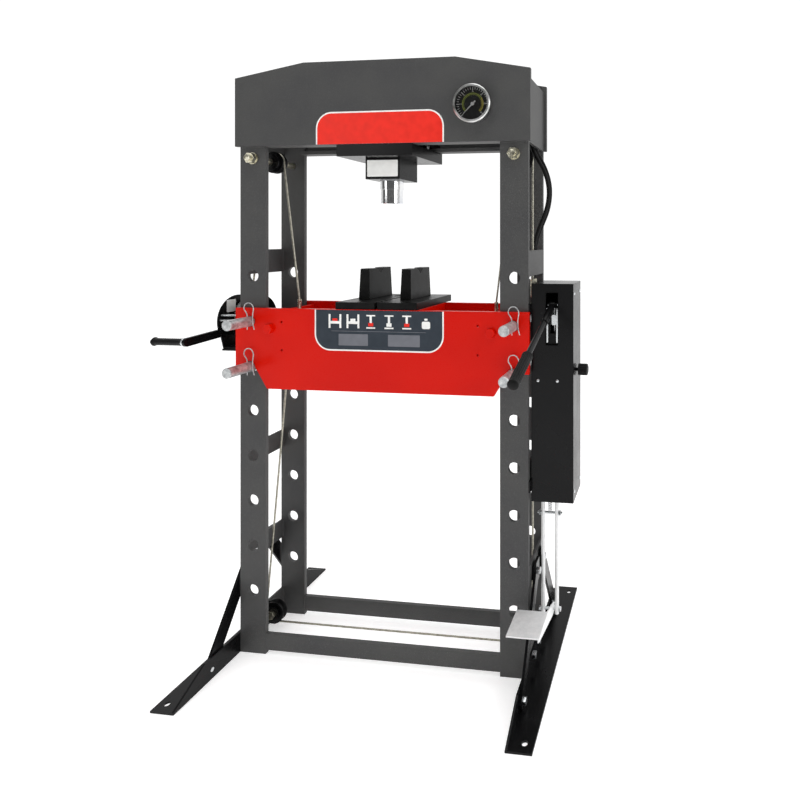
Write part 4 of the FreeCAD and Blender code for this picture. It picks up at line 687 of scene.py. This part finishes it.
# %% Pictures on the panel
PICTURE_Z = 1.041
BEND_X, RAISE_X, TANK_X = (-0.136, -0.078), (-0.021, 0.037, 0.093), 0.153
whites = []
for x in BEND_X:
    whites += picture(x, (-17.5, 0, 6, 42, 0), (17.5, 0, 6, 42, 0), (0, -4, 29, 8, 0))
for x in RAISE_X:
    whites += picture(x, (0, 18, 28, 4, 0), (0, 6, 7, 20, 0), (0, -19, 28, 4, 0))
whites += picture(BEND_X[1], (0, 4, 16, 8, 0))
whites += picture(RAISE_X[1], (0, -9, 16, 10, 0))
whites += picture(TANK_X, (0, -8, 26, 22, 5), (0, 9, 10, 6, 2))
reds = picture(BEND_X[0], (0, 4, 16, 8, 0))
for x in (RAISE_X[0], RAISE_X[2]):
    reds += picture(x, (0, -9, 16, 10, 0))
make_piece("bed_panel_pictures", whites, white_film, "frame", smooth=False)
make_piece("bed_panel_accents", reds, red_film, "frame", smooth=False)
greys = [bar(-0.077, 0.985, 0.094, 0.035, 0.002), bar(0.084, 0.985, 0.100, 0.035, 0.002),
         bar(0.003, 1.011, 0.300, 0.0012)]
make_piece("bed_panel_blocks", greys, grey_film, "frame", smooth=False)

# %% [markdown]
# The cylinder's head carries a bare white label that nearly fills its front face.

# %% Blank label on the cylinder's head
LABEL_CORNER = 2 * MM
LABEL_MARGIN = 6 * MM
head_low, head_high = corners_of("cylinder_head")
label = rounded((head_low[0] + LABEL_MARGIN, head_low[2] + LABEL_MARGIN + 2 * MM),
                (head_high[0] - LABEL_MARGIN, head_high[2] - LABEL_MARGIN), (LABEL_CORNER,) * 4, 3)
make_piece("cylinder_label", [plate(label, "XZ", head_low[1] - FILM, FILM)], white_film,
           "frame")

# %% [markdown]
# The gauge's dial carries a ring of ticks round three quarters of a turn, plain numbers, and two
# coloured scales of finer ticks. Each tick is a small raised bar: its angle and its length follow
# its number.

# %% Gauge dial
case_low, case_high = corners_of("gauge_case")
dial_low, dial_high = corners_of("gauge_dial")
GAUGE_X, GAUGE_Z = (case_low[0] + case_high[0]) / 2, (case_low[2] + case_high[2]) / 2
DIAL_R = (dial_high[0] - dial_low[0]) / 2
dial_front = crown_front - 14 * MM
INK = 0.2 * MM
SWEEP = 270
START = 225


def on_dial(radius, degrees):
    """X and Z on the dial, the angle counted clockwise from the scale's start."""
    turn = np.radians(START - np.asarray(degrees, float))
    return GAUGE_X + radius * np.cos(turn), GAUGE_Z + radius * np.sin(turn)


def dial_arc(inner_r, outer_r, first, last):
    """Flat ring sector: both radii over the same run of angles."""
    degrees = np.linspace(first, last, 40)
    x_out, z_out = on_dial(outer_r, degrees)
    x_in, z_in = on_dial(inner_r, degrees[::-1])
    outline = np.stack([np.concatenate([x_out, x_in]), np.concatenate([z_out, z_in])], -1)
    return plate(outline, "XZ", dial_front - 2 * INK, INK)


def dial_tick(degrees, inner_r, outer_r, wide):
    """Ring sector so short that its four corners are enough; its width is measured at the rim."""
    across = np.degrees(wide / 2 / outer_r)
    x, z = on_dial(np.array([inner_r, outer_r, outer_r, inner_r]),
                   degrees + across * np.array([-1, -1, 1, 1]))
    return plate(np.stack([x, z], -1), "XZ", dial_front - 2 * INK, INK)


TICKS = 30
LONG_EVERY = 5
TICK_OUTER = DIAL_R - 3.5 * MM
ticks = []
for k in range(TICKS + 1):
    tall, wide = (10 * MM, 2.4 * MM) if k % LONG_EVERY == 0 else (7 * MM, 1.7 * MM)
    ticks.append(dial_tick(SWEEP * k / TICKS, TICK_OUTER - tall, TICK_OUTER, wide))
make_piece("gauge_ticks", ticks, white_film, "frame", smooth=False)

FINE = 54
GREEN_LAST = 38
FINE_INNER, FINE_OUTER, LINE_OUTER = DIAL_R - 26.5 * MM, DIAL_R - 21.5 * MM, DIAL_R - 20 * MM
for ring_name, film, first, last in (("green", green_film, 0, GREEN_LAST),
                                     ("yellow", yellow_film, GREEN_LAST, FINE)):
    fine = [dial_tick(SWEEP * k / FINE, FINE_INNER, FINE_OUTER, 1.1 * MM) for k in range(first, last + 1)]
    fine.append(dial_arc(FINE_OUTER, LINE_OUTER, SWEEP * first / FINE, SWEEP * last / FINE))
    make_piece("gauge_" + ring_name + "_scale", fine, film, "frame", smooth=False)


def standing_number(number, size, place):
    """A number as a thin mesh: drawn flat, then its Y turned to Z and its thickness to Y."""
    curve = bpy.data.curves.new("dial_number", "FONT")
    curve.body = str(number)
    curve.size = size
    curve.align_x = "CENTER"
    curve.align_y = "CENTER"
    curve.extrude = 0.1 * MM
    text = bpy.data.objects.new("dial_number_text", curve)
    bpy.context.scene.collection.objects.link(text)
    mesh = bpy.data.meshes.new_from_object(text)
    bpy.data.objects.remove(text)
    across, up, out = points_of(mesh).T
    standing = np.stack([place[0] + across, place[1] - out, place[2] + up], -1)
    return standing, [list(polygon.vertices) for polygon in mesh.polygons]


NUMBER_R = DIAL_R - 16.5 * MM
NUMBER_SIZE = 5.5 * MM
numbers = []
for k in range(0, TICKS + 1, LONG_EVERY):
    x, z = on_dial(NUMBER_R, SWEEP * k / TICKS)
    numbers.append(standing_number(2 * k, NUMBER_SIZE, (x, dial_front - 1.5 * INK, z)))
make_piece("gauge_numbers", numbers, white_film, "frame", smooth=False)

# %% [markdown]
# The gauge needle is a thin tapered blade with a round hub cap; the cap is a small turned dome.

# %% Needle hub
HUB_PROFILE = [(0.0002, 0), (0.0052, 0), (0.0052, 0.001), (0.0042, 0.0022), (0.002, 0.0029),
               (0.0002, 0.003)]
needle_low, _ = corners_of("gauge_needle")
hub = lathe(HUB_PROFILE, (GAUGE_X, needle_low[1] + 0.5 * MM, GAUGE_Z), (0, -1, 0), 32)
make_piece("needle_hub", [hub], white_film, "gauge_needle")

# %% [markdown]
# Weld beads join the flat bars. A bead is a row of overlapping ripples: a half-buried tube whose
# radius swells once for each ripple, about every 3 mm.

# %% Weld beads
BEAD_R = 3.2 * MM
RIPPLE = 3.4 * MM


def weld(start, end):
    """Tube radius = R (0.86 + 0.16 |sin(pi s / ripple)|), narrowed over the first and last 2.5 mm."""
    start, end = np.asarray(start, float), np.asarray(end, float)
    length = np.linalg.norm(end - start)
    s = np.linspace(0, length, max(24, int(length / (0.85 * MM))))
    path = start + (end - start) * (s / length)[:, None]
    edge = np.clip(np.minimum(s, length - s) / (2.5 * MM), 0.12, 1)
    wander = 0.25 * MM * np.sin(s * 700)[:, None] * np.array([0.6, 0.0, 0.8])
    radius = BEAD_R * (0.86 + 0.16 * np.abs(np.sin(np.pi * s / RIPPLE))) * np.sqrt(edge)
    return carried(path + wander, radius, 12)


posts_low, posts_high = corners_of("posts_right")
POST_INNER_Y = posts_high[1] - 12 * MM
BRACE_X = posts_high[0] - 7.4 * MM
BRACE_Y = POST_INNER_Y - 0.3 * MM
BRACE_Z = ((1.178, 1.255), (0.573, 0.632), (0.263, 0.323), (0.008, 0.088))
RAIL_Z = (0.016, 0.060)
CROWN_Y = posts_high[1] + 0.5 * MM
CROWN_Z = crown_low[2] - 0.5 * MM
INSET = 4 * MM
beads = []
for low, high in BRACE_Z:
    for x in (-BRACE_X, BRACE_X):
        for y in (-BRACE_Y, BRACE_Y):
            beads.append(weld((x, y, low + INSET / 2), (x, y, high - INSET / 2)))
for side in (-1, 1):
    for rear in (-1, 1):
        x, y = side * posts_low[0], rear * POST_INNER_Y
        beads.append(weld((x, y, RAIL_Z[0]), (x, y, RAIL_Z[1])))
        beads.append(weld((x + side * INSET, rear * CROWN_Y, CROWN_Z),
                          (side * (posts_high[0] - INSET), rear * CROWN_Y, CROWN_Z)))
make_piece("weld_beads", beads, coat, "frame", angle=60)
print("weld beads:", len(beads))

# %% [markdown]
# The lever's grip is a moulded rubber sleeve: a collar at its open end, shallow ribs along it so
# that it doesn't slip, and a rounded closed end. The profile sets the radius along the sleeve and
# the ribs modulate it round the axis.

# %% Lever grip
LEVER_PIVOT = np.array([0.528, -0.066, 1.094])
LEVER_DROP = math.radians(17.4)
LEVER_LENGTH = 428 * MM
GRIP_LENGTH = 134 * MM
GRIP_R = 13 * MM
GRIP_BORE = 8 * MM
RIBS = 16
RIB_DEPTH = 0.16
forward = np.array([0.0, -math.cos(LEVER_DROP), -math.sin(LEVER_DROP)])


def ribbed_grip(start, axis, length, radius):
    """Radius = profile(s) (1 - depth (|cos(ribs/2 angle)| - 0.35)) over the ribs, plain at both ends."""
    along, side, other = axes_for(axis)
    s = np.linspace(0, 1, 90)
    collar = 1 + 0.1 * np.exp(-((s - 0.025) / 0.02) ** 2) + 0.05 * np.exp(-((s - 0.96) / 0.03) ** 2)
    swell = 1 + 0.03 * np.sin(np.pi * s)
    end = np.sqrt(np.clip(1 - np.clip((s - 0.955) / 0.045, 0, 1) ** 2, 0.02, 1))
    profile = radius * collar * swell * end
    ribbed = np.clip(np.minimum(s - 0.07, 0.9 - s) / 0.03, 0, 1)
    angle = np.linspace(0, 2 * np.pi, 96, endpoint=False)
    crest = np.clip(np.abs(np.cos(RIBS / 2 * angle)) - 0.35, 0, 1)
    wave = 1 - RIB_DEPTH * ribbed[:, None] * crest[None, :]
    ring = np.cos(angle)[:, None] * side + np.sin(angle)[:, None] * other
    centres = start + (s * length)[:, None, None] * along
    mouth = start + GRIP_BORE * ring[None]
    return surface(np.concatenate([mouth, centres + (profile[:, None] * wave)[..., None] * ring[None]]))


grip_start = LEVER_PIVOT + forward * (LEVER_LENGTH + 5 * MM - GRIP_LENGTH)
make_piece("lever_grip_sleeve", [ribbed_grip(grip_start, forward, GRIP_LENGTH, GRIP_R)],
           rubber, "lever", ["lever_grip"], angle=50)

# %% [markdown]
# The winch's grip is a moulded sleeve: straight along the hand, with a flared stop at its outer
# end. A bright steel ring sits between it and the crank's arm.

# %% Crank grip
grip_low, grip_high = corners_of("crank_grip")
grip_foot = (grip_high[0], (grip_low[1] + grip_high[1]) / 2, (grip_low[2] + grip_high[2]) / 2)
OUTWARDS = (-1, 0, 0)
SLEEVE_R = 10.8 * MM
FLARE = 2.6 * MM
RING_LENGTH = 6 * MM
s = np.linspace(0, 1, 110)
span = grip_high[0] - grip_low[0] - RING_LENGTH
flare = FLARE * (np.exp(-((s - 0.955) / 0.03) ** 2) + 0.35 * np.exp(-((s - 0.03) / 0.03) ** 2))
rings = 0.35 * MM * np.abs(np.sin(np.pi * s * 16)) * np.clip(np.minimum(s - 0.1, 0.86 - s) / 0.05, 0, 1)
shape = (SLEEVE_R + flare - rings) * np.sqrt(np.clip(1 - np.clip((s - 0.975) / 0.03, 0, 1) ** 2, 0.02, 1))
travel = RING_LENGTH + s * span
profile = np.stack([np.concatenate([[5.2 * MM], shape]), np.concatenate([travel[:1], travel])], -1)
make_piece("crank_grip_sleeve", [lathe(profile, grip_foot, OUTWARDS)], plastic,
           "crank_grip", ["crank_grip"], angle=40)
ring = [(5.3 * MM, 0), (11.5 * MM, 0), (12.2 * MM, 0.7 * MM), (12.2 * MM, 4.8 * MM),
        (11.5 * MM, 5.5 * MM), (5.3 * MM, 5.5 * MM)]
make_piece("crank_grip_ring", [lathe(ring, grip_foot, OUTWARDS, 40)], zinc, "crank_grip")

# %% [markdown]
# Zinc plated tie bars hold the winch's two cheeks apart, and a plain white label is stuck inside
# the outer cheek.

# %% Winch tie bars and label
winch_low, winch_high = corners_of("winch_frame")
CHEEK_WALL = 4 * MM
TIE_R = 3.4 * MM
TIE_PLACES = ((-0.068, 1.046), (-0.072, 1.030), (0.055, 1.075))
tie_length = winch_high[0] - winch_low[0] - 2 * CHEEK_WALL
cheek_inside = winch_low[0] + CHEEK_WALL
bars = [lathe([(TIE_R, 0), (TIE_R, tie_length)], (cheek_inside, y, z), (1, 0, 0), 20) for y, z in TIE_PLACES]
make_piece("winch_tie_bars", bars, zinc, "frame")
patch = rounded((-0.046, 1.052), (-0.010, 1.092), (LABEL_CORNER,) * 4, 4)
make_piece("winch_label", [plate(patch, "YZ", cheek_inside, FILM)], white_film, "frame")

# %% [markdown]
# Behind the slot two bright zinc straps run down just inside its sides, beside the lever. They are painted
# highlights: bright strips that stand in for the light caught along the slot's two edges. A bright clevis
# joins them just under the lever's pivot.

# %% Straps that paint the slot's edge highlights, and clevis
STRAP_Y = -0.0785
STRAP_Z = (0.984, 1.086)
STRAP_HALF = 2.2 * MM
STRAP_REACH = 14.5 * MM
lever_x = LEVER_PIVOT[0]
highlight_strap_plates = []
# each strap is a bright strip that paints the highlight along one edge of the slot
for x in (lever_x - STRAP_REACH, lever_x + STRAP_REACH):
    outline = rounded((x - STRAP_HALF, STRAP_Z[0]), (x + STRAP_HALF, STRAP_Z[1]), (2 * MM,) * 4, 4)
    highlight_strap_plates.append(plate(outline, "XZ", STRAP_Y, 3 * MM))
clevis = rounded((lever_x - 1 * MM, 1.036), (lever_x + 12.5 * MM, 1.066), (4 * MM,) * 4, 5)
highlight_strap_plates.append(plate(clevis, "XZ", STRAP_Y - 1 * MM, 4 * MM))
make_piece("slot_highlight_straps_and_clevis", highlight_strap_plates, zinc, "frame", smooth=False)

# %% [markdown]
# The release knob is moulded with scallops for the fingers: the radius dips once for each finger
# groove, and the outer face is slightly domed.

# %% Release knob
knob_low, knob_high = corners_of("release_knob")
KNOB_R = 17.5 * MM
KNOB_BACK = knob_high[0] - 30 * MM
KNOB_LENGTH = 29.5 * MM
STEM_R = 5 * MM
SCALLOPS = 14
t = np.linspace(0, 1, 40)
angle = np.linspace(0, 2 * np.pi, 140, endpoint=False)
profile = KNOB_R * np.where(t < 0.86, 1.0, np.sqrt(np.clip(1 - ((t - 0.86) / 0.16) ** 2, 0, 1)))
dip = np.clip(np.minimum(t - 0.06, 0.9 - t) / 0.06, 0, 1)
wave = 1 - 0.07 * dip[:, None] * np.clip(np.cos(SCALLOPS * angle), 0, 1)[None, :]
centre = np.array([0.0, (knob_low[1] + knob_high[1]) / 2, (knob_low[2] + knob_high[2]) / 2])
ring = np.stack([np.zeros_like(angle), np.cos(angle), np.sin(angle)], -1)
points = (centre + (KNOB_BACK + t * KNOB_LENGTH)[:, None, None] * np.array([1.0, 0, 0])
          + (profile[:, None] * wave)[..., None] * ring[None])
stem = lathe([(STEM_R, 0), (STEM_R, KNOB_BACK - knob_low[0])], (knob_low[0], centre[1], centre[2]),
             (1, 0, 0), 24)
make_piece("release_knob_moulded", [surface(points), stem], plastic, "release_knob",
           ["release_knob"], angle=45)

# %% [markdown]
# The long axle bolts show their threads past the nuts. A thread is the surface whose radius
# falls and rises once per pitch along the axis, with the angle round it as the phase.

# %% Threads on the axle ends
POST_X = 0.418
TOP_AXLE_Z = 1.540
THREAD_R = 10.4 * MM
THREAD_LENGTH = 5.2 * MM
THREAD_PITCH = 2.5 * MM
_, axle_high = corners_of("pulley_axle_bolts")


def thread(start, axis, radius, length, pitch, count=36):
    """Radius = R - 0.54 pitch * triangle(distance / pitch - angle / full turn)."""
    along, side, other = axes_for(axis)
    steps = int(length / pitch * 6)
    distance = np.linspace(0, length, steps)[:, None]
    angle = np.linspace(0, 2 * np.pi, count, endpoint=False)[None, :]
    phase = (distance / pitch - angle / (2 * np.pi)) % 1
    r = radius - 0.54 * pitch * np.abs(2 * phase - 1)
    ring = np.cos(angle)[..., None] * side + np.sin(angle)[..., None] * other
    return surface(np.asarray(start) + distance[..., None] * along + r[..., None] * ring)


threads = []
for side in (-1, 1):
    for rear in (-1, 1):
        threads.append(thread((side * POST_X, rear * (axle_high[1] - 5 * MM), TOP_AXLE_Z), (0, rear, 0),
                              THREAD_R, THREAD_LENGTH, THREAD_PITCH))
make_piece("axle_threads", threads, zinc_yellow, "frame", angle=60)

# %% [markdown]
# A cross bolt ties the two pedal rods below the cabinet, with a coil spring that pulls the
# linkage back up. The spring is a helix carried by a round wire.

# %% Pedal cross bolt and spring
rods_low, rods_high = corners_of("pedal_rods")
rod_y = (rods_low[1] + rods_high[1]) / 2
rod_left, rod_right = rods_low[0] + 6 * MM, rods_high[0] - 6 * MM
CROSS_Z = 0.462
CROSS_R = 4 * MM
CROSS_OVER = 17 * MM
NUT_R = 7.5 * MM
cross = [lathe([(CROSS_R, 0), (CROSS_R, rod_right - rod_left + 2 * CROSS_OVER)],
               (rod_left - CROSS_OVER, rod_y, CROSS_Z), (1, 0, 0), 20)]
for x, out in ((rod_left - 6.5 * MM, -1), (rod_right + 6.5 * MM, 1)):
    nut = [(NUT_R, 0), (NUT_R, 5.5 * MM), (NUT_R - 0.7 * MM, 6 * MM)]
    cross.append(lathe(nut, (x, rod_y, CROSS_Z), (out, 0, 0), 6))
make_piece("pedal_cross_bolt", cross, zinc, "frame", angle=25)

COILS = 9
COIL_R = 6 * MM
SPRING_WIRE_R = 0.9 * MM
SPRING_LOW, SPRING_HIGH = CROSS_Z + 5 * MM, 0.514
around = np.linspace(0, 2 * np.pi * COILS, 24 * COILS)
spring = np.stack([(rod_left + rod_right) / 2 + COIL_R * np.cos(around), rod_y + COIL_R * np.sin(around),
                   SPRING_LOW + (SPRING_HIGH - SPRING_LOW) * around / around[-1]], -1)
make_piece("pedal_spring", [carried(spring, SPRING_WIRE_R, 8)], zinc, "frame", angle=60)

# %% [markdown]
# The cabinet is folded from sheet. The lever's slot has a rolled rim, a thin bead carried round
# the opening; four dome screws hold the side and two more the pump behind the front.

# %% Cabinet screws and slot rim
cab_low, cab_high = corners_of("cabinet_shell")
SLOT_LOW, SLOT_HIGH = np.array([0.510, 0.978]), np.array([0.546, 1.131])
RIM_R = 1.4 * MM
RIM_OUT = 1.5 * MM
SCREW_INSET = (14 * MM, 30 * MM)
FRONT_SCREW_Z = 0.872
rim_path = rounded(SLOT_LOW - RIM_OUT, SLOT_HIGH + RIM_OUT, (2 * RIM_OUT,) * 4, 5)
rim_points = np.insert(rim_path, 1, cab_low[1] - 0.2 * MM, axis=1)
closed, _ = even_steps(np.concatenate([rim_points, rim_points[:1]]), 1.5 * MM)
make_piece("slot_rim", [carried(closed, RIM_R, 10)], black, "frame")
dome = [(0.0045, 0), (0.0045, 0.0008), (0.0036, 0.0022), (0.0016, 0.0030), (0.0001, 0.0031)]
screws = []
for y in (cab_low[1] + SCREW_INSET[0], cab_high[1] - SCREW_INSET[0]):
    for z in (cab_low[2] + SCREW_INSET[1], cab_high[2] - SCREW_INSET[1]):
        screws.append(lathe(dome, (cab_high[0], y, z), (1, 0, 0), 20))
for x in (cab_low[0] + 20 * MM, cab_high[0] - 48 * MM):
    screws.append(lathe(dome, (x, cab_low[1], FRONT_SCREW_Z), (0, -1, 0), 20))
make_piece("cabinet_screws", screws, zinc, "frame", angle=40)

# %% [markdown]
# The press stands on a white floor that glows a little, like lit studio paper, so that only a
# faint shadow shows under the feet.

# %% Floor
HALF_FLOOR = 14
floor_mesh = bpy.data.meshes.new("floor")
floor_mesh.from_pydata([(-HALF_FLOOR, -HALF_FLOOR, 0), (HALF_FLOOR, -HALF_FLOOR, 0),
                        (HALF_FLOOR, HALF_FLOOR, 0), (-HALF_FLOOR, HALF_FLOOR, 0)], [], [(0, 1, 2, 3)])
floor = bpy.data.objects.new("floor", floor_mesh)
bpy.context.scene.collection.objects.link(floor)
paper, _, _ = start_material("studio_floor", Roughness=1.0, Base_Color=linear("#fafafa"),
                             Specular_IOR_Level=0.0, Emission_Color=(1, 1, 1, 1), Emission_Strength=0.42)
floor_mesh.materials.append(paper)
print("floor", 2 * HALF_FLOOR, "m wide")

# %% [markdown]
# A surround is bright behind the press and overhead, and dark behind the camera: that keeps the
# front faces deep and saturated, while faces turned to the right and upwards pick up the white in
# their gloss. Its strength depends on direction: 0.11 in front, 1.08 behind, 0.75 above. Looked at
# directly it is always white, so that every view has the same pale background.

# %% Surround
FRONT_GLOW, REAR_GLOW, TOP_GLOW = 0.11, 1.08, 0.75
world = bpy.data.worlds.new("studio")
world.use_nodes = True
sky = world.node_tree
glows = []
for axis, first, last, low, high in (("Y", -0.45, 0.15, FRONT_GLOW, REAR_GLOW),
                                     ("Z", 0.45, 0.95, 0.0, TOP_GLOW)):
    direction = add(sky, "TexCoord", output="Generated")
    along = add(sky, "SeparateXYZ", {"Vector": direction}, output=axis)
    glows.append(add(sky, "MapRange", {"Value": along, "From Min": first, "From Max": last,
                                       "To Min": low, "To Max": high}, interpolation_type="SMOOTHSTEP"))
glow = add(sky, "Math", {0: glows[0], 1: glows[1]}, operation="MAXIMUM")
seen = add(sky, "LightPath", output="Is Camera Ray")
strength = add(sky, "Math", {0: glow, 1: seen}, operation="MAXIMUM")
sky.links.new(strength, sky.nodes["Background"].inputs["Strength"])
sky.nodes["Background"].inputs["Color"].default_value = (1, 1, 1, 1)
bpy.context.scene.world = world
bpy.context.scene.view_settings.view_transform = "Standard"
print("surround from", FRONT_GLOW, "to", REAR_GLOW)

# %% [markdown]
# Three soft boxes shape the press: a strong one on the right for the side faces, a weak one on the
# front left, and a wide one overhead. Each is turned to face the middle of the press.


# %% Soft boxes
def soft_light(name, place, target, size, power):
    """Square area light of a size in metres and a power in watts, facing its target."""
    data = bpy.data.lights.new(name, "AREA")
    data.size = size
    data.energy = power
    light = bpy.data.objects.new(name, data)
    bpy.context.scene.collection.objects.link(light)
    light.location = place
    light.rotation_euler = (Vector(target) - Vector(place)).to_track_quat("-Z", "Y").to_euler()


MIDDLE = (0, 0, 0.95)
soft_light("right_wall", (3.4, -1.6, 2.2), MIDDLE, 1.6, 34)
soft_light("left_front", (-2.4, -3.4, 2.4), MIDDLE, 1.4, 15)
soft_light("overhead", (0.2, -0.9, 4.2), MIDDLE, 3.0, 42)
print("soft boxes:", len(bpy.data.lights))
